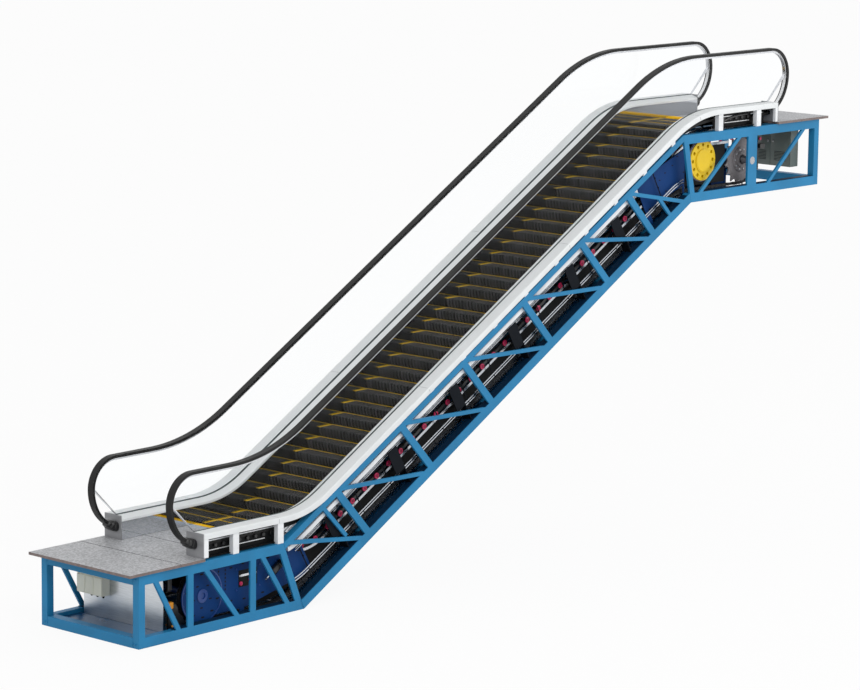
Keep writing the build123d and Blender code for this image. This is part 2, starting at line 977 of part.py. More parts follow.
def deck_brackets():
    """Blocks on the top chord under the outer deck, and arms under the glass clamp."""
    under = deck_line(deck_height - deck_shell)
    arm_top = deck_line(-clamp_height)
    arm_low = deck_line(-clamp_height - arm_height)
    start = arm_top.tangents()[1][0] + deck_bracket_width
    end = under.tangents()[2][0] - deck_bracket_width
    y_in = -glass_plane + clamp_width / 2
    half = deck_bracket_width / 2
    pieces = []
    for k in range(deck_bracket_count):
        x = start + (end - start) * k / (deck_bracket_count - 1)
        a, b = x - half, x + half
        pieces.append(polygon(
            [(a, truss_top(a)), (b, truss_top(b)), (b, under.level(b)), (a, under.level(a))],
            -half_width, -half_width + half,
        ))
        pieces.append(polygon(
            [(a, arm_low.level(a)), (b, arm_low.level(b)), (b, arm_top.level(b)), (a, arm_top.level(a))],
            -inner_face, y_in,
        ))
    return pieces


def floor_beams():
    """Beams across the truss that carry the narrow floor plates between the skirts."""
    beams = []
    lower_seam = lower_floor_cuts()[2]
    places = (
        (lower_seam, lower_depth),
        (comb_lower_x, lower_depth),
        (comb_upper_x, upper_top),
        (deck_upper_end - floor_beam_width, upper_top),
    )
    for x, top in places:
        half = floor_beam_width / 2
        beam = box(x - half, x + half, -inner_face, inner_face, top - floor_beam_height, top)
        y = step_width / 2
        slot = box(
            x - floor_beam_width, x + floor_beam_width,
            y - joint_gap, skirt_outside + joint_gap,
            top + plate_thickness - tread_drop - skirt_below_nose - joint_gap, top + overrun,
        )
        beams.append(beam - slot - mirrored(slot))
    return beams


def outer_deck():
    """The wide outer cover: a top sheet and a face that hangs over the truss."""
    low = deck_line(0)
    high = deck_line(deck_height)
    under = deck_line(deck_height - deck_shell)
    y_out = -deck_outer_plane
    y_in = -glass_plane - glass_thickness / 2 - joint_gap
    face = band(low, high, deck_lower_start, deck_upper_end, y_out, y_out + deck_shell)
    return face + band(under, high, deck_lower_start, deck_upper_end, y_out, y_in)


def inner_deck():
    """The sloping inner cover between the glass and the skirt."""
    high = deck_line(inner_deck_height)
    y_out = -glass_plane + glass_thickness / 2 + joint_gap
    y_in = -step_width / 2
    return band(deck_line(0), high, deck_lower_start, deck_upper_end, y_out, y_in)


def skirt():
    low = nose.offset(-skirt_below_nose)
    return band(low, deck_line(0), deck_lower_start, deck_upper_end, -skirt_outside, -step_width / 2)


def guide():
    """The rail on the glass edge that the handrail runs on."""
    low = deck_lower_start
    high = deck_upper_end
    grow = -rail_height / 2
    outer = newel_outline(grow, glass_foot, low, high)
    inner = newel_outline(grow - guide_height, glass_foot.offset(-overrun), low, high)
    y = -glass_plane
    solid = plate(outer, y - guide_width / 2, y + guide_width / 2)
    hole = plate(inner, y - guide_width, y + guide_width)
    return solid - hole


def newel_caps():
    """Flat plates that close the ends of the decks, down to the floor plates."""
    low = box(
        deck_lower_start - cap_thickness,
        deck_lower_start,
        -deck_outer_plane,
        -step_width / 2,
        lower_floor,
        deck_lower_level + deck_height,
    )
    high = box(
        deck_upper_end,
        deck_upper_end + cap_thickness,
        -deck_outer_plane,
        -step_width / 2,
        upper_floor,
        deck_upper_level + deck_height,
    )
    y = -glass_plane
    reach = rail_width / 2 + joint_gap
    tall = rail_height / 2 + inlet_gap
    for plane, side, centre_x, centre_z, back_z in (
        (deck_lower_start - cap_thickness / 2, downhill, lower_tail_x(), newel_low_z, rail_back.low),
        (deck_upper_end + cap_thickness / 2, uphill, upper_tail_x(), newel_high_z, rail_back.high),
    ):
        z = centre_z - sqrt((centre_z - back_z) ** 2 - (plane - centre_x) ** 2)
        hole = box(plane - overrun, plane + overrun, y - reach, y + reach, z - tall, z + tall)
        if side < 0:
            low = low - hole
        else:
            high = high - hole
    return [low, high, mirrored(low), mirrored(high)]


def lower_tail_x():
    """The middle of the arc by which the handrail runs in at the lower newel."""
    return newel_lower_x - newel_radius + newel_low_z - rail_back.low


def upper_tail_x():
    return newel_upper_x + newel_radius - newel_high_z + rail_back.high


def deck_posts():
    """Short posts that carry the outer decks on the top chords."""
    posts = []
    span = lower_top_bend_x - deck_lower_start
    y_low = -deck_outer_plane + deck_shell
    y_high = y_low + deck_post_depth
    for share in lower_deck_post_shares:
        x = deck_lower_start + span * share
        posts.append(box(x - deck_post_width, x, y_low, y_high, lower_depth, deck_lower_level))
    for run in upper_deck_post_runs:
        x = upper_bend_x + run
        posts.append(box(x - deck_post_width, x, y_low, y_high, upper_top, deck_upper_level))
    return posts + [mirrored(p) for p in posts]


def handrail_wheel():
    """The handrail drive wheel: a flanged disc with a ring of holes and a raised boss."""
    low = -wheel_plane - wheel_width / 2
    high = -wheel_plane + wheel_width / 2
    wheel = disc(wheel_x, wheel_z, wheel_radius, low, high)
    wheel = wheel + disc(wheel_x, wheel_z, wheel_boss_radius, low - wheel_boss_height, low)
    for k in range(wheel_bolts):
        a = 2 * pi * k / wheel_bolts
        x = wheel_x + wheel_bolt_circle * cos(a)
        z = wheel_z + wheel_bolt_circle * sin(a)
        wheel = wheel - prism((x, z, 0), wheel_bolt_sides, wheel_bolt_hole, low - overrun, high + overrun)
    return wheel - disc(wheel_x, wheel_z, wheel_shaft_diameter / 2, low, high + overrun)


def handrail_shaft():
    """The shaft that joins the two handrail drive wheels."""
    reach = wheel_plane + wheel_width / 2
    return disc(wheel_x, wheel_z, wheel_shaft_diameter / 2, -reach, reach)


def web_sheet():
    """The dark sheet behind the rollers, between the loaded run and the returning one."""
    low = chain_lower.offset(web_sheet_low)
    high = chain_upper.offset(-web_sheet_high)
    y_in = web_sheet_y + web_sheet_thickness
    sheet = band(low, high, turn_x + chain_radius, shaft_x - chain_radius, web_sheet_y, y_in)
    return sheet - disc(wheel_x, wheel_z, wheel_bearing_radius, web_sheet_y - overrun, y_in + overrun)


def bearing(x, z, bore, radius, width, y, foot_z):
    """A pillow block: a round housing on a foot."""
    low = y - width / 2
    high = y + width / 2
    block = disc(x, z, radius, low, high) + box(x - radius, x + radius, low, high, foot_z, z)
    return block - disc(x, z, bore, low - overrun, high + overrun)


def turn_disc():
    """The round cover at the lower turn of the chain."""
    low = -side_plate_out - turn_disc_thickness
    body = disc(turn_x, turn_z, chain_radius + turn_disc_over, low, -side_plate_out)
    return body - disc(turn_x, turn_z, turn_shaft_diameter / 2, low - overrun, overrun)


def climb_point(run, lift):
    """The point a run up the climb from its foot and a lift square to it."""
    x = lower_bend_x + run * cos(slope) - lift * sin(slope)
    return (x, run * sin(slope) + lift * cos(slope))


def carriage_plate():
    """The side plate of the lower turn, with a window on to the chain."""
    outline = [
        (turn_x, carriage_bottom),
        (turn_x + carriage_run, carriage_bottom),
        climb_point(carriage_climb_low, carriage_climb_low),
        climb_point(carriage_climb_reach, carriage_climb_low),
        climb_point(carriage_climb_reach, carriage_climb_high),
        (lower_top_bend_x, carriage_top),
        (turn_x, carriage_top),
    ]
    body = polygon(outline, -side_plate_out, -side_plate_in)
    z = turn_z + carriage_window_height / 2
    window = box(
        turn_x + carriage_window_start, turn_x + carriage_window_end, -side_plate_out - overrun,
        -side_plate_in + overrun, z - carriage_window_height / 2, z + carriage_window_height / 2,
    )
    bore = disc(turn_x, turn_z, turn_shaft_diameter / 2, -side_plate_out - overrun, overrun)
    for x in (turn_x, turn_x + carriage_run - side_leg_width):
        body = body + box(
            x, x + side_leg_width, -side_plate_out, -side_plate_in,
            tray_thickness, carriage_bottom + overrun,
        )
    return body - window - bore


def drive_plate():
    """The side plate at the top of the climb, before the handrail's drive wheel."""
    length = truss_rise / sin(slope)
    outline = [
        climb_point(length - drive_plate_reach, drive_plate_low),
        (upper_bend_x, truss_rise + drive_plate_end_low),
        (upper_bend_x + drive_plate_end_run, truss_rise + drive_plate_end_low),
        (upper_bend_x + drive_plate_end_run, truss_rise + drive_plate_end_top),
        climb_point(length - drive_plate_reach, drive_plate_high),
    ]
    start = length - drive_plate_reach
    leg = [
        climb_point(start, drive_plate_low + overrun),
        climb_point(start, tray_thickness),
        climb_point(start + side_leg_width, tray_thickness),
        climb_point(start + side_leg_width, drive_plate_low + overrun),
    ]
    x = upper_bend_x + drive_plate_end_run
    end_leg = box(
        x - side_leg_width / 2, x, -side_plate_out, -side_plate_in,
        truss_rise + tray_thickness, truss_rise + drive_plate_end_low + overrun,
    )
    shapes = [polygon(points, -side_plate_out, -side_plate_in) for points in (outline, leg)]
    return shapes[0] + shapes[1] + end_leg


machine_x = upper_bend_x + machine_run
machine_z = truss_rise + tray_thickness + bed_thickness


def machine_bed():
    half = bed_length / 2
    low = truss_rise + tray_thickness
    return box(machine_x - half, machine_x + half, -bed_side, bed_side, low, machine_z)


def gearbox():
    half = gearbox_length / 2
    y = -gearbox_side
    top = machine_z + gearbox_height
    return box(machine_x - half, machine_x + half, y, y + gearbox_width, machine_z, top)


def motor():
    y = -gearbox_side + gearbox_width
    return disc(machine_x, machine_z + gearbox_height - motor_radius, motor_radius, y, y + motor_length)


def controller_cabinet():
    """The flat cabinet that hangs from the upper floor plates."""
    z = upper_top
    x = far_end_x - cabinet_set_back
    y = -inner_face + cabinet_side
    return box(x, x + cabinet_depth, y, y + cabinet_width, z - cabinet_height, z)


def control_box():
    x = partition_x - control_box_depth
    y = control_box_y
    top = lower_depth - control_box_drop
    return box(x, x + control_box_depth, y, y + control_box_width, top - control_box_height, top)


def partition():
    """The upright sheet that parts the lower pit from the turn of the steps."""
    y = inner_face - partition_side
    x = partition_x
    return box(x, x + partition_thickness, -y, y, pit_tray_top, lower_depth)


def build():
    save_pair(lower_side(), "truss_lower")
    save_pair(incline_side(), "truss_incline")
    save_pair(upper_side(), "truss_upper")
    ends = end_beams(end_x, end_x + end_beam_width, 0, lower_depth)
    ends += end_beams(far_end_x - end_beam_width, far_end_x, truss_rise, upper_top)
    save(group(ends), "end_beams")
    save(group(cross_members()), "cross_members")
    lower, incline, upper = trays()
    save(lower, "lower_tray")
    save(incline, "incline_tray")
    save(upper, "upper_tray")
    save(group(lower_floor_plates()), "lower_floor_plates")
    save(group(upper_floor_plates()), "upper_floor_plates")
    combs = [comb_plate(comb_lower_x, uphill, lower_floor), comb_plate(comb_upper_x, downhill, upper_floor)]
    save(group(combs), "comb_plates")
    save(group(steps()), "steps")
    for side, name in ((-1, "near"), (1, "far")):
        y = side * chain_plane
        offset = (chain_plate_gap + chain_plate) / 2
        pins = bushes() if side < 0 else [mirrored(pin) for pin in bushes()]
        save(group([chain(y - offset), chain(y + offset)] + pins), "step_chain_" + name)
    save(both([web_sheet()]), "chain_sheets")
    save(both([drive_plate()]), "drive_plates")
    save(both(rollers()), "step_rollers")
    save(both([glass_clamp()]), "glass_clamps")
    save(both(deck_brackets()), "deck_brackets")
    save(group(floor_beams()), "floor_beams")
    save_pair(glass(), "glass")
    save_pair(handrail(), "handrail")
    save_pair(guide(), "handrail_guide")
    save_pair(outer_deck(), "outer_deck")
    save_pair(inner_deck(), "inner_deck")
    save_pair(skirt(), "skirt")
    save(group(newel_caps()), "newel_caps")
    save(group(deck_posts()), "deck_posts")
    reach = half_width
    save(disc(shaft_x, shaft_z, main_shaft_diameter / 2, -reach, reach), "main_shaft")
    low = -chain_plane - sprocket_thickness / 2
    save_pair(sprocket(shaft_x, shaft_z, low, low + sprocket_thickness), "drive_sprocket")
    save(handrail_shaft(), "handrail_drive_shaft")
    save_pair(handrail_wheel(), "handrail_wheel")
    y = wheel_plane - wheel_width / 2 - wheel_bearing_inset - wheel_bearing_width / 2
    blocks = bearing(
        wheel_x, wheel_z, wheel_shaft_diameter / 2 + bearing_clearance, wheel_bearing_radius,
        wheel_bearing_width, -y, truss_rise + tray_thickness,
    )
    save(both([blocks]), "handrail_bearings")
    save(both(main_tracks()), "main_tracks")
    save(both([return_track()]), "return_tracks")
    save(both([turn_disc()]), "turn_discs")
    save(both([carriage_plate()]), "carriage_plates")
    save(both(track_brackets()), "track_brackets")
    save(machine_bed(), "machine_bed")
    save(gearbox(), "gearbox")
    save(motor(), "motor")
    save(controller_cabinet(), "controller_cabinet")
    save(control_box(), "control_box")
    save(partition(), "partition")
    reach = side_plate_out + turn_disc_thickness
    save(disc(turn_x, turn_z, turn_shaft_diameter / 2, -reach, reach), "turn_shaft")


build()
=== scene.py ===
import bpy
import bmesh
import json
import math
from mathutils import Matrix, Vector


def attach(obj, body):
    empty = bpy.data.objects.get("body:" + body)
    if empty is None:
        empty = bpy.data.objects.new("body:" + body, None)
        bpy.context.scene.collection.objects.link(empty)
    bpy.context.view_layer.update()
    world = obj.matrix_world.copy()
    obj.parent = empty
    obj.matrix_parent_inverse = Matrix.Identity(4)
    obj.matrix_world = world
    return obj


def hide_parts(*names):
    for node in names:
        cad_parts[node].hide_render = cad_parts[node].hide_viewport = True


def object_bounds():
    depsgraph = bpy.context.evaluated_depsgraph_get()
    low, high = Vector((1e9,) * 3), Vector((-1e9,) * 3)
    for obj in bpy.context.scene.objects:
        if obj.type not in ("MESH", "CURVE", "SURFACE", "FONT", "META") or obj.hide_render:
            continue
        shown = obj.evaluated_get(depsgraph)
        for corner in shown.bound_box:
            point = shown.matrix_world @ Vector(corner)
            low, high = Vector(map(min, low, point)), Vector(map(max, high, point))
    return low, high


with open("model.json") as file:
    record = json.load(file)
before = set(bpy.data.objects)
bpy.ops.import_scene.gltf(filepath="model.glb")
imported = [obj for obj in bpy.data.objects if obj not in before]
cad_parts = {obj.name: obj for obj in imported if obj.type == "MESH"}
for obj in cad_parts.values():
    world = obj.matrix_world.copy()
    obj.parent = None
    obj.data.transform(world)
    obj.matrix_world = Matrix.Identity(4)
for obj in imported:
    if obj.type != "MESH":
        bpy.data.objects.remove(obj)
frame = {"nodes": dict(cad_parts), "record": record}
nodes = frame["nodes"]
cad_low, cad_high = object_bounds()
scene = bpy.context.scene

# Camera at the photograph's angle
yaw, pitch, roll = 0.83793, 0.17178, 0.01183
eye = Vector((-24.89169, -27.11131, 9.50503))
forward = Vector((math.sin(yaw) * math.cos(pitch), math.cos(yaw) * math.cos(pitch), -math.sin(pitch)))
right0 = Vector((math.cos(yaw), -math.sin(yaw), 0))
up0 = right0.cross(forward)
right = math.cos(roll) * right0 + math.sin(roll) * up0
up = -math.sin(roll) * right0 + math.cos(roll) * up0
camera = bpy.data.objects.new("camera", bpy.data.cameras.new("camera"))
camera.matrix_world = Matrix((
    (right.x, up.x, -forward.x, eye.x),
    (right.y, up.y, -forward.y, eye.y),
    (right.z, up.z, -forward.z, eye.z),
    (0, 0, 0, 1),
))
camera.data.sensor_fit = "HORIZONTAL"
camera.data.sensor_width = 36
camera.data.lens = 150.22
camera.data.clip_end = 300
scene.collection.objects.link(camera)
scene.camera = camera


# Materials
mat = {}


class Maker:
    """Builds one Principled material with procedural colour, roughness and bump, and keeps it in mat."""

    def __init__(self, name, colour, rough=0.5, metal=0.0, **sockets):
        self.mat = mat[name] = bpy.data.materials.new(name)
        self.mat.use_nodes = True
        self.tree = self.mat.node_tree
        self.shader = self.tree.nodes["Principled BSDF"]
        self.colour = (*colour, 1)
        self.set("Base Color", self.colour)
        self.set("Roughness", rough)
        self.set("Metallic", metal)
        for key, value in sockets.items():
            self.set(key.replace("_", " "), value)
        self.mat.diffuse_color = self.colour

    def set(self, key, value):
        self.shader.inputs[key].default_value = value

    def node(self, kind, **inputs):
        n = self.tree.nodes.new(kind)
        for key, value in inputs.items():
            n.inputs[key.replace("_", " ")].default_value = value
        return n

    def link(self, a, b):
        self.tree.links.new(a, b)

    def place(self, scale=(1, 1, 1), turn=(0, 0, 0)):
        coord = self.node("ShaderNodeTexCoord")
        mapping = self.node("ShaderNodeMapping", Scale=scale, Rotation=turn)
        self.link(coord.outputs["Object"], mapping.inputs["Vector"])
        return mapping.outputs["Vector"]

    def noise(self, scale, detail=3.0, stretch=(1, 1, 1), turn=(0, 0, 0)):
        n = self.node("ShaderNodeTexNoise", Scale=scale, Detail=detail)
        self.link(self.place(stretch, turn), n.inputs["Vector"])
        return n.outputs["Fac"]

    def ramp(self, source, stops):
        r = self.node("ShaderNodeValToRGB")
        ramp = r.color_ramp
        while len(ramp.elements) < len(stops):
            ramp.elements.new(0.5)
        for element, (place, colour) in zip(ramp.elements, stops):
            element.position = place
            element.color = (*colour, 1)
        self.link(source, r.inputs["Fac"])
        return r.outputs["Color"]

    def vary(self, source, low, high, spread=(0.35, 0.65)):
        """Colour runs from low to high times the base colour with the source."""
        base = self.colour[:3]
        stops = [(spread[0], [c * low for c in base]), (spread[1], [min(1, c * high) for c in base])]
        self.link(self.ramp(source, stops), self.shader.inputs["Base Color"])

    def rough(self, source, low, high):
        n = self.node("ShaderNodeMapRange", To_Min=low, To_Max=high)
        self.link(source, n.inputs["Value"])
        self.link(n.outputs["Result"], self.shader.inputs["Roughness"])

    def bump(self, source, strength=0.2, distance=0.001):
        n = self.node("ShaderNodeBump", Strength=strength, Distance=distance)
        self.link(source, n.inputs["Height"])
        self.link(n.outputs["Normal"], self.shader.inputs["Normal"])

    def maths(self, operation, source, value, third=None):
        n = self.node("ShaderNodeMath")
        n.operation = operation
        n.inputs[1].default_value = value
        self.link(source, n.inputs[0])
        if third:
            self.link(third, n.inputs[2])
        return n.outputs["Value"]

    def upward(self):
        """How far the surface faces up."""
        facing = self.node("ShaderNodeNewGeometry")
        split = self.node("ShaderNodeSeparateXYZ")
        self.link(facing.outputs["Normal"], split.inputs["Vector"])
        return split.outputs["Z"]

    def blend(self, factor, first, second):
        """The base colour goes from the first colour to the second with the factor."""
        mix = self.node("ShaderNodeMix")
        mix.data_type = "RGBA"
        self.link(factor, mix.inputs["Factor"])
        self.link(first, mix.inputs[6])
        self.link(second, mix.inputs[7])
        self.link(mix.outputs[2], self.shader.inputs["Base Color"])


def srgb(r, g, b):
    """A screen colour from 0 to 255 as the linear values that Blender takes."""
    def one(v):
        v = v / 255
        return v / 12.92 if v <= 0.04045 else ((v + 0.055) / 1.055) ** 2.4
    return (one(r), one(g), one(b))


def painted(name, colour, rough, coat=0.15, shine=0.5):
    """Paint, plastic or rubber with a faint unevenness."""
    m = Maker(name, srgb(*colour), rough, Coat_Weight=coat, Coat_Roughness=0.2, Specular_IOR_Level=shine)
    m.vary(m.noise(2.2, 4), 0.9, 1.06)
    m.rough(m.noise(9, 5), rough - 0.08, rough + 0.12)
    m.bump(m.noise(260, 2), 0.12, 0.0004)


def bare(name, colour, rough, low=0.88, high=1.05, stretch=(1, 1, 1), scale=60, metal=1.0, lift=0.06):
    """Bare metal with a grain that may be drawn out along one axis."""
    m = Maker(name, srgb(*colour), rough, metal)
    grain = m.noise(scale, 4, stretch)
    m.vary(grain, low, high)
    m.rough(grain, max(0.02, rough - 0.07), rough + (0.1 if lift else 0.02))
    if lift:
        m.bump(grain, lift, 0.0003)


painted("truss_paint", (34, 124, 172), 0.45, coat=0.03, shine=0.25)
painted("tray_paint", (14, 74, 118), 0.28, coat=0, shine=0.45)
bare("comb_metal", (168, 178, 190), 0.42, scale=35, metal=0.8)
painted("comb_yellow", (255, 196, 0), 0.7, coat=0, shine=0.1)
painted("chain_black", (20, 20, 22), 0.42)
painted("roller_magenta", (196, 34, 88), 0.4, coat=0.05)
painted("handrail_rubber", (24, 24, 24), 0.5, coat=0, shine=0.25)
bare("rail_steel", (214, 216, 220), 0.24)
bare("deck_light", (226, 229, 230), 0.5, 0.96, 1.02, stretch=(1, 60, 1), scale=6, metal=0.1)
bare("skirt_steel", (196, 199, 203), 0.07, 0.97, 1.02, stretch=(1, 1, 40), scale=5, lift=0.0)
# Near-black for real dark parts, and for the plates of painted shade in slots, windows and louvres.
painted("cap_dark", (10, 12, 13), 0.6, coat=0, shine=0.2)
painted("post_white", (236, 238, 240), 0.4)
bare("track_steel", (196, 200, 206), 0.25)
painted("machine_blue", (12, 56, 112), 0.5, coat=0, shine=0.12)
bare("machine_steel", (128, 124, 126), 0.5, metal=0.3)
bare("shaft_steel", (178, 180, 184), 0.28)
painted("wheel_yellow", (226, 190, 4), 0.5, coat=0)
painted("cabinet_grey", (96, 106, 102), 0.42)
painted("box_cream", (232, 232, 216), 0.42)
painted("boot_black", (16, 16, 17), 0.36, coat=0.2)
painted("joint_dark", (120, 122, 126), 0.5)
# Near-black for the track brackets and bay clips, painted shade of the truss's dark inside.
painted("track_bracket_shade", (8, 14, 22), 0.6, coat=0, shine=0.1)
# Dark navy for the sheet laid over the bottom chords, painted shade.
painted("painted_shade_navy", (8, 40, 66), 0.5, coat=0, shine=0.1)
painted("gasket_grey", (70, 82, 84), 0.6, coat=0)
bare("cap_grey", (150, 151, 154), 0.5, 0.9, 1.08, stretch=(1, 1, 8), scale=3, metal=0.1)
painted("hub_magenta", (150, 28, 66), 0.4)
painted("machine_blue_light", (20, 62, 132), 0.45)
painted("switch_orange", (226, 150, 40), 0.4)
painted("tyre_violet", (134, 128, 148), 0.42)
# Dark violet for the discs in the wheels' holes, painted shade.
painted("wheel_hole_shade", (38, 36, 48), 0.4)
bare("guide_bright", (236, 238, 240), 0.35, metal=0.3)
bare("partition_steel", (206, 210, 214), 0.3, stretch=(1, 1, 30), scale=8)


def floor_plate_material():
    """Speckled non-slip sheet whose upright edges are brown."""
    m = Maker("floor_plate", srgb(172, 173, 176), 0.6, 0.1)
    speckle = m.noise(46, 8)
    m.vary(speckle, 0.7, 1.16, (0.42, 0.58))
    m.rough(m.noise(30, 4), 0.42, 0.6)
    m.bump(speckle, 0.35, 0.0008)
    top = m.shader.inputs["Base Color"].links[0].from_socket
    edge = m.ramp(m.noise(14, 4), [(0.3, srgb(104, 92, 90)), (0.7, srgb(130, 116, 112))])
    m.blend(m.maths("LESS_THAN", m.upward(), 0.5), top, edge)


def step_material():
    m = Maker("step_dark", srgb(44, 44, 45), 0.6, 0.2)
    m.vary(m.noise(6, 5), 0.82, 1.18)
    m.rough(m.noise(40, 4), 0.38, 0.58)
    m.bump(m.noise(300, 2), 0.2, 0.0005)


def step_rib_material():
    """Ribs with soft dark bands across the step, with painted shade on the risers and painted light on the tread tops,
    as light from above would fall.
    """
    m = Maker("step_rib", srgb(70, 70, 70), 0.62, 0.15)
    bands = m.node("ShaderNodeTexWave", Scale=6.33)
    bands.bands_direction = "Y"
    m.link(m.place(), bands.inputs["Vector"])
    patches = m.maths("MULTIPLY", m.noise(14, 4, (0.2, 1, 0.2)), 0.62)
    streaks = m.maths("MULTIPLY_ADD", bands.outputs["Fac"], 0.35, patches)
    # Painted light and shade: faces that point sideways take the darker tone as their shade, and faces that point up
    # take the lighter tone as if lit from above.
    shaded_riser_tone = m.ramp(streaks, [(0.3, srgb(18, 18, 19)), (0.68, srgb(74, 74, 75))])
    lit_tread_tone = m.ramp(streaks, [(0.3, srgb(58, 58, 57)), (0.68, srgb(86, 86, 85))])
    m.blend(m.upward(), shaded_riser_tone, lit_tread_tone)
    m.rough(m.noise(50, 4), 0.5, 0.7)


def worn_yellow():
    """Yellow paint that is rubbed through to dark metal here and there."""
    m = Maker("line_yellow", srgb(236, 178, 0), 0.7, Specular_IOR_Level=0.1)
    stops = [(0.34, srgb(120, 96, 30)), (0.42, srgb(232, 184, 0)), (0.62, srgb(250, 204, 0))]
    m.link(m.ramp(m.noise(38, 5), stops), m.shader.inputs["Base Color"])
    m.rough(m.noise(60, 3), 0.42, 0.62)
    m.bump(m.noise(300, 2), 0.15, 0.0004)


def glass_material():
    m = Maker("glass_clear", (0.988, 0.996, 1.0), 0.0, 0.0, Transmission_Weight=1.0, IOR=1.12)
    m.rough(m.noise(0.8, 2), 0.0, 0.03)


floor_plate_material()
step_material()
step_rib_material()
worn_yellow()
glass_material()

slot_of = {part["node"]: part["material_slot"] for part in frame["record"]["subparts"]}
for name, obj in nodes.items():
    obj.data.materials.clear()
    obj.data.materials.append(mat[slot_of[name]])


# Shapes, in metres, on the measures of the part's source
slope = math.radians(30)
climb_start, truss_rise = 2.404, 3.845
glass_y = 0.6
turn_at, shaft_at, wheel_at, motor_at = (0.98, 0.37167), (10.26674, 4.25667), (9.39974, 4.318), (9.9637, 4.245)
chain_radius, chain_pitch = 0.28833, 0.1125
disc_at, plate_face, disc_face = (0.98, 0.3717), -0.611, -0.623


class Rise:
    """A level run, a bend, a climb, a bend and a level run, as in the part's source."""

    def __init__(self, low, high, knee, r_low, r_high):
        self.low, self.high, self.knee, self.r_low, self.r_high = low, high, knee, r_low, r_high
        t = math.tan(slope / 2)
        top = knee + (high - low) / math.tan(slope)
        self.a = knee - r_low * t
        self.b = knee + r_low * t * math.cos(slope)
        self.c = top - r_high * t * math.cos(slope)
        self.d = top + r_high * t

    def offset(self, lift):
        knee = self.knee - lift * math.tan(slope / 2)
        return Rise(self.low + lift, self.high + lift, knee, self.r_low - lift, self.r_high + lift)

    def at(self, x):
        """Height and slope at x."""
        if x <= self.a:
            return self.low, 0.0
        if x <= self.b:
            turn = math.asin((x - self.a) / self.r_low)
            return self.low + self.r_low * (1 - math.cos(turn)), turn
        if x <= self.c:
            return self.low + (x - self.knee) * math.tan(slope), slope
        if x <= self.d:
            turn = math.asin((self.d - x) / self.r_high)
            return self.high - self.r_high * (1 - math.cos(turn)), turn
        return self.high, 0.0

    def along(self, s):
        """The point a length s past the first bend's start."""
        one = self.r_low * slope
        two = one + (self.c - self.b) / math.cos(slope)
        three = two + self.r_high * slope
        if s <= 0:
            return self.a + s, self.low
        if s <= one:
            turn = s / self.r_low
            return self.a + self.r_low * math.sin(turn), self.low + self.r_low * (1 - math.cos(turn))
        if s <= two:
            run = s - one
            z = self.low + self.r_low * (1 - math.cos(slope))
            return self.b + run * math.cos(slope), z + run * math.sin(slope)
        if s <= three:
            turn = (three - s) / self.r_high
            return self.d - self.r_high * math.sin(turn), self.high - self.r_high * (1 - math.cos(turn))
        return self.d + s - three, self.high

    def stations(self, start, end, bends=10):
        """Points (x, z, slope) from start to end, closer together in the bends."""
        xs = [start, end]
        for p, q in ((self.a, self.b), (self.c, self.d)):
            xs += [p + (q - p) * k / bends for k in range(bends + 1)]
        xs = sorted(x for x in xs if start <= x <= end)
        return [(x, *self.at(x)) for x in xs]


nose = Rise(0.81, 4.695, 2.479, 0.6, 1.2)
chain_top = Rise(0.66, 4.545, 2.679, 0.6, 1.2)
chain_low = Rise(0.08334, 3.96834, 2.21836, 1.2, 0.6)
deck = Rise(1.013, 4.873, 2.47257, 1.35, 1.65)
deck_start, deck_end = 0.875, 10.74474


def finish(name, mesh, material, slot, body="escalator", smooth=35, bevel=0, replaces=()):
    """Makes a mesh a piece that rides on a body."""
    mesh.polygons.foreach_set("use_smooth", [True] * len(mesh.polygons))
    mesh.set_sharp_from_angle(angle=math.radians(smooth))
    mesh.materials.clear()
    mesh.materials.append(mat[material])
    obj = bpy.data.objects.new(name, mesh)
    scene.collection.objects.link(obj)
    if bevel:
        mod = obj.modifiers.new("edge", "BEVEL")
        mod.width = bevel
        mod.segments = 2
        mod.limit_method = "ANGLE"
        mod.angle_limit = math.radians(40)
    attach(obj, body)
    if replaces:
        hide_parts(*replaces)
    return obj


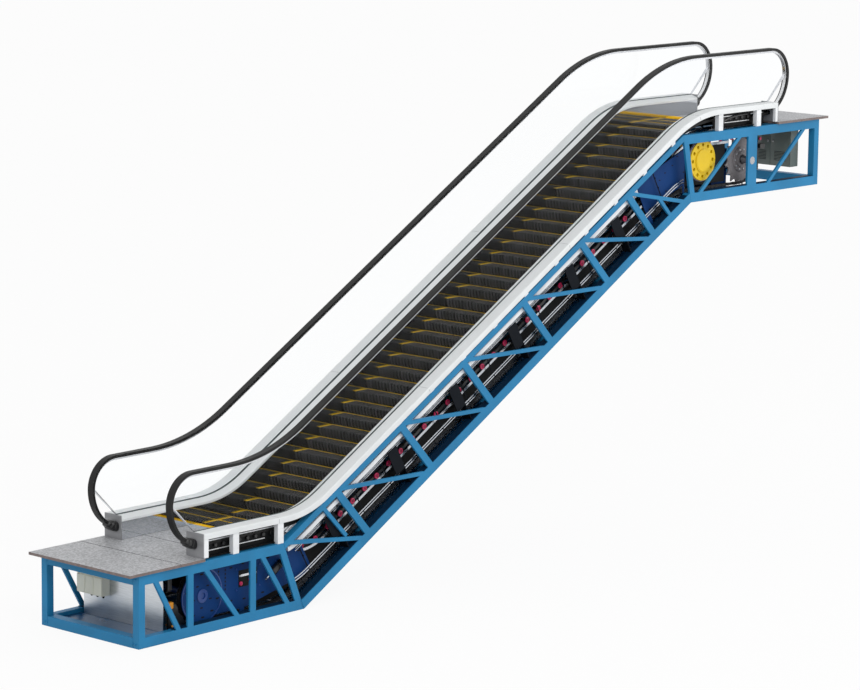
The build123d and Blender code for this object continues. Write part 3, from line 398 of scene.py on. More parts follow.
class Lot:
    """Points and faces of many closed forms gathered into one piece."""

    def __init__(self):
        self.verts, self.faces = [], []

    def add(self, verts, faces):
        base = len(self.verts)
        self.verts += [tuple(v) for v in verts]
        self.faces += [tuple(base + i for i in f) for f in faces]

    def rings(self, rings, closed=False):
        """A closed skin over rings of equal count."""
        n = len(rings[0])
        faces = []
        count = len(rings)
        for k in range(count if closed else count - 1):
            a, b = k * n, ((k + 1) % count) * n
            faces += [(a + i, a + (i + 1) % n, b + (i + 1) % n, b + i) for i in range(n)]
        if not closed:
            faces += [tuple(range(n))[::-1], tuple((count - 1) * n + i for i in range(n))]
        self.add([v for ring in rings for v in ring], faces)

    def rise(self, rise, start, end, outline, bends=10):
        """A (y, lift) outline carried along a rise."""
        self.rings([
            [(x - lift * math.sin(a), y, z + lift * math.cos(a)) for y, lift in outline]
            for x, z, a in rise.stations(start, end, bends)
        ])

    def slab(self, outline, y0, y1, chamfer=0.0):
        """An (x, z) outline from y0 to y1, its far and near edges broken."""
        y0, y1 = min(y0, y1), max(y0, y1)
        n = len(outline)
        cx = sum(p[0] for p in outline) / n
        cz = sum(p[1] for p in outline) / n
        def ring(y, inset):
            out = []
            for x, z in outline:
                d = math.hypot(x - cx, z - cz) or 1
                k = 1 - inset / d
                out.append((cx + (x - cx) * k, y, cz + (z - cz) * k))
            return out
        cuts = [(y0, 0), (y1, 0)]
        if chamfer:
            cuts = [(y0, chamfer), (y0 + chamfer, 0), (y1 - chamfer, 0), (y1, chamfer)]
        self.rings([ring(y, inset) for y, inset in cuts])

    def turned(self, centre, profile, sides=20, axis="y"):
        """A (radius, along) profile turned about an axis through centre, which may be a plain (x, z)."""
        if len(centre) == 2:
            centre = (centre[0], 0, centre[1])
        rings = []
        for k in range(sides):
            a = 2 * math.pi * k / sides
            c, s = math.cos(a), math.sin(a)
            rings.append([spot(centre, axis, r * c, r * s, h) for r, h in profile])
        self.rings(rings, closed=True)

    def knob(self, centre, radius, height, sides=6, axis="y"):
        """A bolt head or stud with a broken edge, standing along an axis."""
        turns = [2 * math.pi * k / sides for k in range(sides)]
        self.rings([
            [spot(centre, axis, r * math.cos(t), r * math.sin(t), along) for t in turns]
            for r, along in ((radius, 0), (radius, height * 0.75), (radius * 0.8, height))
        ])

    def both(self):
        """Adds the mirror image across the middle plane."""
        n = len(self.verts)
        self.verts += [(x, -y, z) for x, y, z in self.verts]
        self.faces += [tuple(n + i for i in reversed(f)) for f in self.faces]
        return self

    def make(self, name, material, slot=None, **options):
        """The finished piece, with its faces turned outwards."""
        mesh = bpy.data.meshes.new(name)
        mesh.from_pydata(self.verts, [], self.faces)
        bm = bmesh.new()
        bm.from_mesh(mesh)
        bmesh.ops.recalc_face_normals(bm, faces=bm.faces)
        bm.to_mesh(mesh)
        bm.free()
        finish(name, mesh, material, slot, **options)


def spot(centre, axis, u, v, along):
    """A point along an axis through centre, and u and v off it."""
    x, y, z = centre
    if axis == "y":
        return (x + u, y + along, z + v)
    if axis == "x":
        return (x + along, y + u, z + v)
    return (x + u, y + v, z + along)


def polar(centre, r, degrees):
    """The (x, z) point at an angle round a centre."""
    a = math.radians(degrees)
    return centre[0] + r * math.cos(a), centre[1] + r * math.sin(a)


def corner(cx, cz, r, start, end, n=4):
    """An arc of (x, z) points, in degrees."""
    return [polar((cx, cz), r, start + (end - start) * k / n) for k in range(n + 1)]


def rounded(x0, x1, z0, z1, r, n=4):
    """A rounded rectangle as (x, z) points."""
    return (corner(x1 - r, z1 - r, r, 0, 90, n) + corner(x0 + r, z1 - r, r, 90, 180, n)
            + corner(x0 + r, z0 + r, r, 180, 270, n) + corner(x1 - r, z0 + r, r, 270, 360, n))


def box(x0, x1, z0, z1):
    """A plain rectangle as four points."""
    return [(x0, z0), (x1, z0), (x1, z1), (x0, z1)]


def on_line(p, q, width):
    """A thin bar from p to q as (x, z) points."""
    dx, dz = q[0] - p[0], q[1] - p[1]
    d = math.hypot(dx, dz)
    nx, nz = -dz / d * width / 2, dx / d * width / 2
    return [(p[0] + nx, p[1] + nz), (p[0] - nx, p[1] - nz), (q[0] - nx, q[1] - nz), (q[0] + nx, q[1] + nz)]


def soften(node, width, material=None):
    """A CAD node with its edges broken, in the node's place."""
    mesh = nodes[node].data.copy()
    bm = bmesh.new()
    bm.from_mesh(mesh)
    bmesh.ops.remove_doubles(bm, verts=bm.verts, dist=1e-5)
    bmesh.ops.dissolve_limit(bm, angle_limit=math.radians(1), verts=bm.verts, edges=bm.edges)
    bm.to_mesh(mesh)
    bm.free()
    slot = slot_of[node]
    obj = finish(node + "_dressed", mesh, material or slot, slot, bevel=width, replaces=[node])
    obj.modifiers["edge"].segments = 1


# Steps: ribbed castings, their yellow edges, and the combs
step_depth, step_pitch, step_side = 0.222, 0.225, 0.496
rib_pitch, rib_rise, rib_count = 0.0124, 0.008, 80
tread_thick, riser_thick = 0.022, 0.014
axle_run, axle_drop = 0.2, 0.15
sweep = math.radians(31)
places = [nose.along(k * step_pitch) for k in range(-1, 39)]


def steps():
    """Forty castings on their axles, the ribs on tread and riser, and the yellow edge strips."""
    bodies, ribs, edges = Lot(), Lot(), Lot()
    r = step_depth
    for x, z in places:
        def ring(radius, turn):
            return (x + r - radius * math.cos(turn), z - radius * math.sin(turn))
        turns = [sweep * k / 6 for k in range(7)]
        outer = r - rib_rise
        inner = r - riser_thick
        start = math.atan2(tread_thick, inner)
        outline = [(x + r, z - rib_rise), ring(outer, math.asin(rib_rise / outer))]
        outline += [ring(outer, t) for t in turns[1:]]
        outline += [ring(inner, sweep - (sweep - start) * k / 6) for k in range(7)]
        outline += [(x + r, z - tread_thick)]
        bodies.slab(outline, -step_side, step_side)
        ax, az = x + axle_run, z - axle_drop
        cheek = [(x + r, z - 0.02), (ax + 0.03, az), (ax + 0.03, az - 0.03), (ax - 0.03, az - 0.03),
                 ring(inner + 0.003, sweep), ring(inner + 0.003, sweep / 2), ring(inner + 0.003, start)]
        for side in (-1, 1):
            bodies.slab(cheek, side * 0.44 - 0.006, side * 0.44 + 0.006)
        bodies.turned((ax, az), [(0.004, -0.543), (0.013, -0.541), (0.013, 0.541), (0.004, 0.543)], 12)
        top = [(x + r, z), (x + 0.004, z), (x + 0.0006, z - 0.004)] + [ring(r, t) for t in turns[1:]]
        root = [(x + r, z - rib_rise - 0.001), (x + 0.009, z - rib_rise - 0.001), (x + 0.0095, z - rib_rise - 0.002)]
        root += [ring(r - rib_rise - 0.001, t) for t in turns[1:]]
        for k in range(rib_count):
            y = -step_side + (k + 0.5) * rib_pitch
            ribs.rings([
                [(bx, y - 0.0038, bz), (tx, y - 0.0025, tz), (tx, y + 0.0025, tz), (bx, y + 0.0038, bz)]
                for (tx, tz), (bx, bz) in zip(top, root)
            ])
        lift = 0.0012
        strip = [(x + 0.004, z - 0.004), (x + 0.0045, z + lift * 0.5), (x + 0.007, z + lift),
                 (x + r - 0.002, z + lift), (x + r, z + lift * 0.4), (x + r, z - 0.004)]
        for side in (-1, 1):
            edges.slab(strip, side * (step_side - 0.001), side * (step_side - 0.023), 0.001)
        back = [(x + r - 0.019, z - 0.004), (x + r - 0.019, z + lift * 0.4), (x + r - 0.017, z + lift),
                (x + r - 0.002, z + lift), (x + r, z + lift * 0.4), (x + r, z - 0.004)]
        edges.slab(back, -step_side + 0.022, step_side - 0.022)
    bodies.make("step_bodies", "step_dark", "step_dark", replaces=["steps"])
    ribs.make("step_ribs", "step_rib", "step_dark", smooth=20)
    edges.make("step_edges", "line_yellow")


def combs():
    """Comb carriers, yellow comb plates with their teeth, and the screws that hold them."""
    base, teeth, screws = Lot(), Lot(), Lot()
    for root, tip, floor, yellow in ((1.854, 2.044, 0.815, 0.1), (10.26974, 10.07974, 4.7, 0.185)):
        d = 1 if tip > root else -1
        neck = tip - d * 0.06
        start = tip - d * yellow
        body = [(root, floor - 0.002), (root + d * 0.002, floor), (start - d * 0.002, floor), (start, floor - 0.004),
                (neck, floor - 0.004), (neck, floor - 0.03), (root, floor - 0.03)]
        base.slab(body, -0.5, 0.5)
        for k in range(5):
            y0 = -0.5 + k * 0.2
            end = tip - d * 0.042
            piece = [(start, floor - 0.0035), (start, floor + 0.002), (start + d * 0.004, floor + 0.004),
                     (tip - d * 0.05, floor + 0.003), (end, floor - 0.0005), (end, floor - 0.0035)]
            teeth.slab(piece, y0 + 0.0006, y0 + 0.1994, 0.0006)
            for y in (y0 + 0.05, y0 + 0.15):
                screws.knob((start - d * 0.03, y, floor), 0.007, 0.002, 10, "z")
        for k in range(1, rib_count):
            y = -step_side + k * rib_pitch
            rings = []
            for along, half, high, low in ((0.046, 0.0035, 0.002, 0.0035), (0.02, 0.0024, 0.0, 0.008),
                                           (0.0, 0.0012, -0.006, 0.010)):
                x = tip - d * along
                rings.append([(x, y - half, floor - low), (x, y - half, floor + high),
                              (x, y + half, floor + high), (x, y + half, floor - low)])
            teeth.rings(rings)
    base.make("comb_bases", "comb_metal", "comb_metal", replaces=["comb_plates"])
    teeth.make("comb_teeth", "comb_yellow")
    screws.make("comb_screws", "rail_steel", "rail_steel")


# Decks, gaskets and boots
def decks():
    """Covers beside the glass, the gaskets and skirt strips along them, and the joints of the outer covers."""
    outer = [(-0.762, 0.0)] + corner(-0.748, 0.052, 0.014, 180, 90) + [(-0.61, 0.066), (-0.61, 0.054)]
    outer += corner(-0.744, 0.048, 0.006, 90, 180, 3) + [(-0.75, 0.0)]
    inner = [(-0.59, 0.0), (-0.59, 0.057), (-0.587, 0.06), (-0.517, 0.035)] + corner(-0.508, 0.022, 0.008, 80, 0, 3)
    inner += [(-0.5, 0.0)]
    for side, label in ((1, "near"), (-1, "far")):
        for name, outline, node in (("outer", outer, "outer_deck_"), ("inner", inner, "inner_deck_")):
            lot = Lot()
            lot.rise(deck, deck_start, deck_end, [(y * side, lift) for y, lift in outline], 16)
            lot.make(f"deck_{name}_{label}", "deck_light", "deck_light", replaces=[node + label])
    gasket = Lot()
    for y0, y1 in ((-0.6115, -0.6055), (-0.5945, -0.5885)):
        outline = [(y0, 0.05), (y0, 0.0655), (y0 + 0.002, 0.069), (y1 - 0.002, 0.069), (y1, 0.0655), (y1, 0.05)]
        gasket.rise(deck, deck_start + 0.002, deck_end - 0.002, outline, 16)
    gasket.both().make("glass_gaskets", "gasket_grey")
    strip = Lot()
    outline = [(-0.507, -0.094), (-0.507, -0.17), (-0.5055, -0.172), (-0.5015, -0.172), (-0.5, -0.17), (-0.5, -0.094)]
    strip.rise(nose, deck_start + 0.02, deck_end - 0.02, outline)
    strip.both().make("skirt_strips", "skirt_steel", "skirt_steel")
    seams = Lot()
    for x in (2.0, 4.4, 6.8, 9.2):
        z, a = deck.at(x)
        rings = []
        for along in (-0.0015, 0.0015):
            px, pz = x + along * math.cos(a), z + along * math.sin(a)
            rings.append([(px - lift * math.sin(a), y, pz + lift * math.cos(a)) for y, lift in
                          ((-0.7626, 0.004), (-0.7626, 0.05), (-0.7475, 0.0664), (-0.62, 0.0664), (-0.62, 0.06),
                           (-0.75, 0.06), (-0.757, 0.004))])
        seams.rings(rings)
    seams.both().make("deck_joints", "joint_dark")


def boots():
    """Rubber collars round the handrail where it runs into the newels, and the bright guides inside the bends."""
    lot, guide = Lot(), Lot()
    shape = ((0.0, 0.066, 0.050), (0.04, 0.070, 0.054), (0.34, 0.070, 0.054), (0.37, 0.064, 0.047),
             (0.41, 0.064, 0.047), (0.44, 0.068, 0.051), (0.66, 0.066, 0.049), (0.7, 0.058, 0.038),
             (0.74, 0.058, 0.038), (0.78, 0.061, 0.041), (0.92, 0.055, 0.035), (1.0, 0.0425, 0.019))
    low, high, wide, tight = (0.987, 1.395), (10.64274, 5.255), 0.462, 0.325
    for side in (-1, 1):
        for centre, first, last in ((low, 255.2, 236), (high, 285.2, 299)):
            rings = []
            for t, half_y, half_r in shape:
                a = math.radians(first + (last - first) * t)
                rings.append([
                    (centre[0] + (wide + v) * math.cos(a), side * glass_y + u, centre[1] + (wide + v) * math.sin(a))
                    for u, v in rounded(-half_y, half_y, -half_r, half_r, half_r * 0.8, 5)
                ])
            lot.rings(rings)
        for bend, first, last, tail, tail_last in (((0.85, 1.395), 92, 180, low, 232),
                                                   ((10.77974, 5.255), 88, 0, high, 303)):
            tail_first = 180 if tail == low else 360
            turns = [(bend, tight, first + (last - first) * k / 16) for k in range(17)]
            turns += [(tail, wide, tail_first + (tail_last - tail_first) * (k + 1) / 12) for k in range(12)]
            rings = []
            for centre, radius, degrees in turns:
                inner, outer = radius - 0.028, radius - 0.0165
                section = ((inner, -0.017), (outer, -0.019), (outer, 0.019), (inner, 0.017))
                points = [(polar(centre, q, degrees), y) for q, y in section]
                rings.append([(x, side * glass_y + y, z) for (x, z), y in points])
            guide.rings(rings)
    lot.make("handrail_boots", "boot_black", smooth=50)
    guide.make("newel_guides", "guide_bright", "rail_steel")


# Chains, rollers and rails
def chain_loop_points():
    """The closed line of the step chain, as (x, z, length so far)."""
    points = []
    def add(x, z):
        s = points[-1][2] + math.hypot(x - points[-1][0], z - points[-1][1]) if points else 0.0
        points.append((x, z, s))
    for x, z, _ in chain_top.stations(turn_at[0], shaft_at[0], 24):
        add(x, z)
    for k in range(1, 25):
        add(*polar(shaft_at, chain_radius, 90 - 180 * k / 24))
    for x, z, _ in reversed(chain_low.stations(turn_at[0], shaft_at[0], 24)):
        add(x, z)
    for k in range(1, 25):
        add(*polar(turn_at, chain_radius, 270 - 180 * k / 24))
    return points


def chains():
    """Inner and outer plates, pins and bushes, link by link round the loop."""
    loop = chain_loop_points()
    total = loop[-1][2]
    def at(s):
        s = s % total
        low, high = 0, len(loop) - 1
        while high - low > 1:
            mid = (low + high) // 2
            if loop[mid][2] <= s:
                low = mid
            else:
                high = mid
        p, q = loop[low], loop[high]
        t = (s - p[2]) / max(q[2] - p[2], 1e-9)
        return p[0] + (q[0] - p[0]) * t, p[1] + (q[1] - p[1]) * t
    first = 2.29323 - turn_at[0]
    count = round(total / chain_pitch)
    pitch = total / count
    pins = [at(first + k * pitch) for k in range(count)]
    for side, label in ((-1, "near"), (1, "far")):
        lot = Lot()
        for k, p in enumerate(pins):
            q = pins[(k + 1) % count]
            for plane in ((0.549, 0.571) if k % 2 else (0.5435, 0.5765)):
                a = math.atan2(q[1] - p[1], q[0] - p[0])
                outline = []
                for centre, start in ((q, -90), (p, 90)):
                    for j in range(7):
                        t = a + math.radians(start + 180 * j / 6)
                        outline.append((centre[0] + 0.018 * math.cos(t), centre[1] + 0.018 * math.sin(t)))
                mx, mz = (p[0] + q[0]) / 2, (p[1] + q[1]) / 2
                nx, nz = -math.sin(a), math.cos(a)
                outline.insert(14, (mx - nx * 0.0145, mz - nz * 0.0145))
                outline.insert(7, (mx + nx * 0.0145, mz + nz * 0.0145))
                lot.slab(outline, side * (plane - 0.0025), side * (plane + 0.0025), 0.0008)
            lot.turned(p, [(0.003, side * 0.5405), (0.0085, side * 0.5425), (0.0085, side * 0.5785),
                           (0.003, side * 0.5805)], 10)
            lot.turned(p, [(0.009, side * 0.5515), (0.014, side * 0.5525), (0.014, side * 0.5675),
                           (0.009, side * 0.5685)], 12)
        lot.make(f"chain_{label}", "chain_black", "chain_black", replaces=[f"step_chain_{label}"])


def rollers():
    """Tyres and hubs of the step rollers."""
    tyres, hubs = Lot(), Lot()
    for x, z in places:
        for side in (-1, 1):
            c = (x + axle_run, z - axle_drop)
            tyre = [(0.02, 0.579), (0.030, 0.5785), (0.033, 0.5805), (0.033, 0.5935), (0.030, 0.5955),
                    (0.021, 0.5955), (0.020, 0.5935)]
            hub = [(0.0035, 0.5775), (0.0195, 0.5785), (0.0195, 0.5925), (0.014, 0.5945), (0.0115, 0.5925),
                   (0.009, 0.5965), (0.0035, 0.5968)]
            tyres.turned(c, [(r, side * y) for r, y in tyre], 24)
            hubs.turned(c, [(r, side * y) for r, y in hub], 16)
    tyres.make("roller_tyres", "roller_magenta", "roller_magenta", replaces=["step_rollers"])
    hubs.make("roller_hubs", "hub_magenta", "roller_magenta")


def climb(run, lift):
    """The (x, z) point a run up the climb and a lift square to it."""
    return (climb_start + run * math.cos(slope) - lift * math.sin(slope),
            run * math.sin(slope) + lift * math.cos(slope))


def bay_rails():
    """Guide rails, a pale cable cover and clips, which run beside the rollers up the climb, and a dark navy liner over
    the bottom chords' tops that is painted shade.
    """
    line = Rise(0.0, truss_rise, climb_start, 1.2, 0.6)
    bright, cover, clips = Lot(), Lot(), Lot()
    for lift, tall, y in ((0.258, 0.012, -0.652), (0.289, 0.012, -0.652), (0.575, 0.008, -0.655),
                          (0.603, 0.008, -0.662), (0.628, 0.007, -0.668)):
        outline = [(y - 0.006, 0), (y - 0.006, tall - 0.002), (y - 0.004, tall), (y + 0.004, tall),
                   (y + 0.006, tall - 0.002), (y + 0.006, 0)]
        bright.rise(line.offset(lift), 2.35, 9.02 if lift < 0.5 else 8.1, outline)
    outline = [(-0.705, 0), (-0.705, 0.046), (-0.701, 0.05), (-0.674, 0.05), (-0.67, 0.046), (-0.67, 0)]
    cover.rise(line.offset(0.655), 2.2, 8.1, outline)
    for k in range(15):
        run = 0.35 + k * 0.5
        clips.slab(on_line(climb(run, 0.24), climb(run, 0.7), 0.014), -0.648, -0.644, 0.001)
        for lift in (0.265, 0.45, 0.585, 0.67):
            x, z = climb(run, lift)
            clips.knob((x, -0.648, z), 0.009, -0.012)
    bright.both().make("bay_rails", "track_steel", "track_steel")
    cover.both().make("bay_cable_covers", "post_white", "post_white")
    # The clips take the near-black of painted shade.
    clips.both().make("bay_clips", "track_bracket_shade", "tray_paint")
    # A dark navy sheet over the bottom chords' inner top faces, painted shade for the shadow they lie in.
    shade_liner = Lot()
    outline = [(-0.744, 0), (-0.744, 0.003), (-0.742, 0.005), (-0.655, 0.005), (-0.652, 0.002), (-0.652, -0.1),
               (-0.655, -0.1), (-0.655, 0)]
    shade_liner.rise(Rise(0.0, truss_rise, climb_start, 0.3, 0.3).offset(0.1135), 0.46, 11.52, outline, 4)
    shade_liner.both().make("bay_painted_shade_liners", "painted_shade_navy", "tray_paint")


def lower_machine():
    """What shows on the lower turn: slots drawn as dark plates of painted shade, bolts, a window with a roller and a
    dark sheet of painted shade behind it, a damper and the switches.
    """
    slot_shades, bolts, shade_marks = Lot(), Lot(), Lot()
    # Each slot is a near-black plate on the face, painted shade for the opening.
    def shade_slot_mark(x, z, w, h, y):
        slot_shades.slab(rounded(x - w / 2, x + w / 2, z - h / 2, z + h / 2, min(w, h) * 0.45, 2), y - 0.0015, y + 0.004)
    for k in range(9):
        z = 0.38 + k * 0.042
        shade_slot_mark(1.235, z, 0.018, 0.026, plate_face)
        shade_slot_mark(1.335, z, 0.018, 0.026, plate_face)
    for x, z in ((1.42, 0.6), (1.6, 0.62), (1.98, 0.62), (2.2, 0.62), (2.3, 0.7), (2.45, 0.62), (1.2, 0.25),
                 (1.42, 0.24), (1.62, 0.23), (1.9, 0.25), (2.05, 0.36), (2.32, 0.46), (2.52, 0.72), (2.58, 0.66)):
        shade_slot_mark(x, z, 0.046, 0.017, plate_face)
    for k in range(10):
        shade_slot_mark(*polar(disc_at, 0.235, 20 + k * 36), 0.046, 0.018, disc_face)
    for k in range(5):
        shade_slot_mark(*polar(disc_at, 0.13, 50 + k * 72), 0.04, 0.016, disc_face)
    for k in range(12):
        x, z = polar(disc_at, 0.281, 15 + k * 30)
        bolts.knob((x, disc_face, z), 0.008, -0.006)
    for x, z in ((1.5, 0.57), (1.85, 0.57), (1.5, 0.34), (1.85, 0.34), (2.1, 0.56), (2.28, 0.58)):
        bolts.knob((x, plate_face, z), 0.011, -0.008)
    # A near-black sheet behind the window bar, painted shade for the dark inside.
    shade_marks.slab(box(1.532, 1.818, 0.364, 0.549), -0.6125, -0.603, 0.002)
    rings = Lot()
    rings.turned(disc_at, [(0.036, -0.6235), (0.075, -0.6235), (0.075, -0.632), (0.06, -0.636), (0.036, -0.636)], 28)
    rings.turned(disc_at, [(0.286, -0.6225), (0.3, -0.6225), (0.3, -0.6255), (0.286, -0.6265)], 40)
    slot_shades.both().make("turn_slot_shades", "cap_dark")
    bolts.both().make("turn_bolts", "machine_blue_light", "machine_blue")
    shade_marks.both().make("turn_window_shades", "cap_dark")
    rings.both().make("turn_rings", "machine_blue_light", "machine_blue")
    view = Lot()
    view.slab(rounded(1.545, 1.805, 0.478, 0.502, 0.006), -0.6165, -0.6115, 0.001)
    view.both().make("window_bars", "rail_steel", "rail_steel")
    pegs = Lot()
    for x, z in ((1.565, 0.405), (1.70, 0.43)):
        pegs.turned((x, z), [(0.004, -0.6115), (0.022, -0.6115), (0.022, -0.624), (0.017, -0.627), (0.004, -0.627)],
                    18)
    pegs.both().make("window_rollers", "roller_magenta", "roller_magenta")
    damper, rod = Lot(), Lot()
    a = math.atan2(0.094, 0.153)
    def tube(lot, start, end, profile):
        rings = []
        for k in range(18):
            t = 2 * math.pi * k / 18
            ring = []
            for r, s in profile:
                run = start + (end - start) * s
                u, v = r * math.cos(t), r * math.sin(t)
                ring.append((2.0 + run * math.cos(a) - u * math.sin(a), -0.652 + v,
                             0.456 + run * math.sin(a) + u * math.cos(a)))
            rings.append(ring)
        lot.rings(rings, closed=True)
    tube(damper, 0.0, 0.2, [(0.004, 0), (0.034, 0), (0.042, 0.05), (0.042, 0.5), (0.037, 0.53), (0.037, 0.6),
                            (0.042, 0.63), (0.042, 0.95), (0.034, 1), (0.004, 1)])
    tube(rod, -0.12, 0.0, [(0.003, 0), (0.009, 0.03), (0.009, 1), (0.003, 1)])
    damper.slab([(2.03, 0.44), (2.1, 0.44), (2.1, 0.51), (2.03, 0.47)], -0.64, -0.61, 0.002)
    damper.both().make("turn_dampers", "boot_black")
    rod.both().make("turn_damper_rods", "rail_steel", "rail_steel")
    bits, orange, red = Lot(), Lot(), Lot()
    bits.slab(rounded(0.5, 0.56, 0.5, 0.74, 0.006), -0.6, -0.56, 0.003)
    orange.slab(rounded(0.53, 0.585, 0.30, 0.37, 0.008), -0.6, -0.55, 0.004)
    orange.slab(rounded(0.56, 0.6, 0.1, 0.12, 0.004), -0.6, -0.5, 0.002)
    red.turned((0.55, 0.70), [(0.003, -0.6), (0.024, -0.6), (0.024, -0.616), (0.018, -0.622), (0.003, -0.624)], 18)
    bits.slab(rounded(0.52, 0.6, 0.07, 0.3, 0.006), -0.59, -0.56, 0.003)
    bits.both().make("turn_switch_bodies", "boot_black")
    orange.both().make("turn_switch_blocks", "switch_orange")
    red.both().make("turn_switch_buttons", "roller_magenta", "roller_magenta")


def upper_machine():
    """The handrail wheels on their shaft with dark discs in their holes as painted shade, the sprockets' hubs and
    bolts, slots drawn as dark plates of painted shade, tubes and sensors.
    """
    rim, hole_shades, caps, shaft = Lot(), Lot(), Lot(), Lot()
    shaft.turned(wheel_at, [(0.003, -0.653), (0.028, -0.653), (0.0296, -0.651),
                            (0.0296, 0.651), (0.028, 0.653), (0.003, 0.653)], 64)
    shaft.make("wheel_shaft", "shaft_steel", "shaft_steel", body="handrail_drive",
               replaces=["handrail_drive_shaft"])
    rim.turned(wheel_at, [(0.222, -0.6145), (0.2555, -0.6145), (0.2565, -0.618), (0.2565, -0.636),
                          (0.2535, -0.6395), (0.222, -0.6395)], 56)
    rim.both().make("wheel_tyres", "tyre_violet", body="handrail_drive")
    caps.turned(wheel_at, [(0.004, -0.663), (0.128, -0.663), (0.132, -0.6655), (0.132, -0.668),
                           (0.124, -0.6705), (0.118, -0.669), (0.112, -0.668), (0.004, -0.667)], 48)
    caps.turned(wheel_at, [(0.148, -0.652), (0.156, -0.652), (0.156, -0.6555), (0.148, -0.6565)], 48)
    caps.turned(wheel_at, [(0.226, -0.652), (0.242, -0.652), (0.243, -0.6545), (0.239, -0.657), (0.228, -0.656)], 56)
    caps.both().make("wheel_faces", "wheel_yellow", "wheel_yellow", body="handrail_drive")
    # Dark discs in the wheel's holes, painted shade for the openings.
    for k in range(12):
        hole_shades.turned(polar(wheel_at, 0.192, 15 + 30 * k),
                     [(0.003, -0.642), (0.0245, -0.642), (0.0245, -0.648), (0.018, -0.650), (0.003, -0.650)], 18)
    hole_shades.both().make("wheel_hole_shades", "wheel_hole_shade", body="handrail_drive")
    plate, teeth_bolts = Lot(), Lot()
    plate.turned(shaft_at, [(0.06, -0.5695), (0.155, -0.5695), (0.155, -0.576), (0.15, -0.579), (0.1, -0.579),
                            (0.095, -0.595), (0.06, -0.597)], 36)
    plate.turned(shaft_at, [(0.2, -0.5695), (0.238, -0.5695), (0.238, -0.572), (0.2, -0.573)], 44)
    for k in range(10):
        x, z = polar(shaft_at, 0.125, 36 * k)
        teeth_bolts.knob((x, -0.579, z), 0.012, -0.01)
    plate.both().make("sprocket_hubs", "machine_steel", "machine_steel")
    teeth_bolts.both().make("sprocket_bolts", "shaft_steel", "shaft_steel")
    ends, slot_shades = Lot(), Lot()
    ends.turned(shaft_at, [(0.004, -0.7495), (0.034, -0.7495), (0.04, -0.747), (0.04, -0.74), (0.004, -0.74)], 24)
    # Near-black plates for the slots, painted shade for the openings.
    for x, z in ((8.62, 4.14), (8.72, 4.22), (8.86, 4.3), (8.95, 4.4), (9.08, 4.2), (9.1, 4.06), (8.98, 4.04),
                 (8.84, 4.02), (8.75, 4.0)):
        slot_shades.slab(rounded(x - 0.016, x + 0.016, z - 0.006, z + 0.006, 0.005, 2), -0.6125, -0.607)
    slot_shades.both().make("drive_slot_shades", "cap_dark")
    ends.both().make("shaft_ends", "shaft_steel", "shaft_steel")
    tube, tags = Lot(), Lot()
    path = [(9.72, 4.685), (9.75, 4.72), (9.82, 4.77), (9.92, 4.80), (10.05, 4.812), (10.2, 4.82), (10.32, 4.822)]
    rings = []
    for k, (x, z) in enumerate(path):
        p, q = path[max(0, k - 1)], path[min(len(path) - 1, k + 1)]
        a = math.atan2(q[1] - p[1], q[0] - p[0])
        turns = [2 * math.pi * j / 14 for j in range(14)]
        rings.append([(x - 0.02 * math.cos(t) * math.sin(a), -0.64 + 0.02 * math.sin(t),
                       z + 0.02 * math.cos(t) * math.cos(a)) for t in turns])
    tube.rings(rings)
    tube.both().make("guide_tubes", "boot_black", smooth=50)
    tags.slab(rounded(10.57, 10.64, 4.44, 4.56, 0.008), -0.6, -0.555, 0.004)
    tags.slab(rounded(10.62, 10.72, 4.36, 4.42, 0.008), -0.6, -0.555, 0.004)
    tags.slab(rounded(10.6, 10.625, 4.1, 4.5, 0.004), -0.57, -0.55, 0.002)
    tags.make("sensor_bodies", "boot_black")
    dots = Lot()
    dots.turned((10.605, 4.49), [(0.003, -0.6), (0.02, -0.6), (0.02, -0.612), (0.014, -0.616), (0.003, -0.617)], 16)
    dots.make("sensor_buttons", "roller_magenta", "roller_magenta")


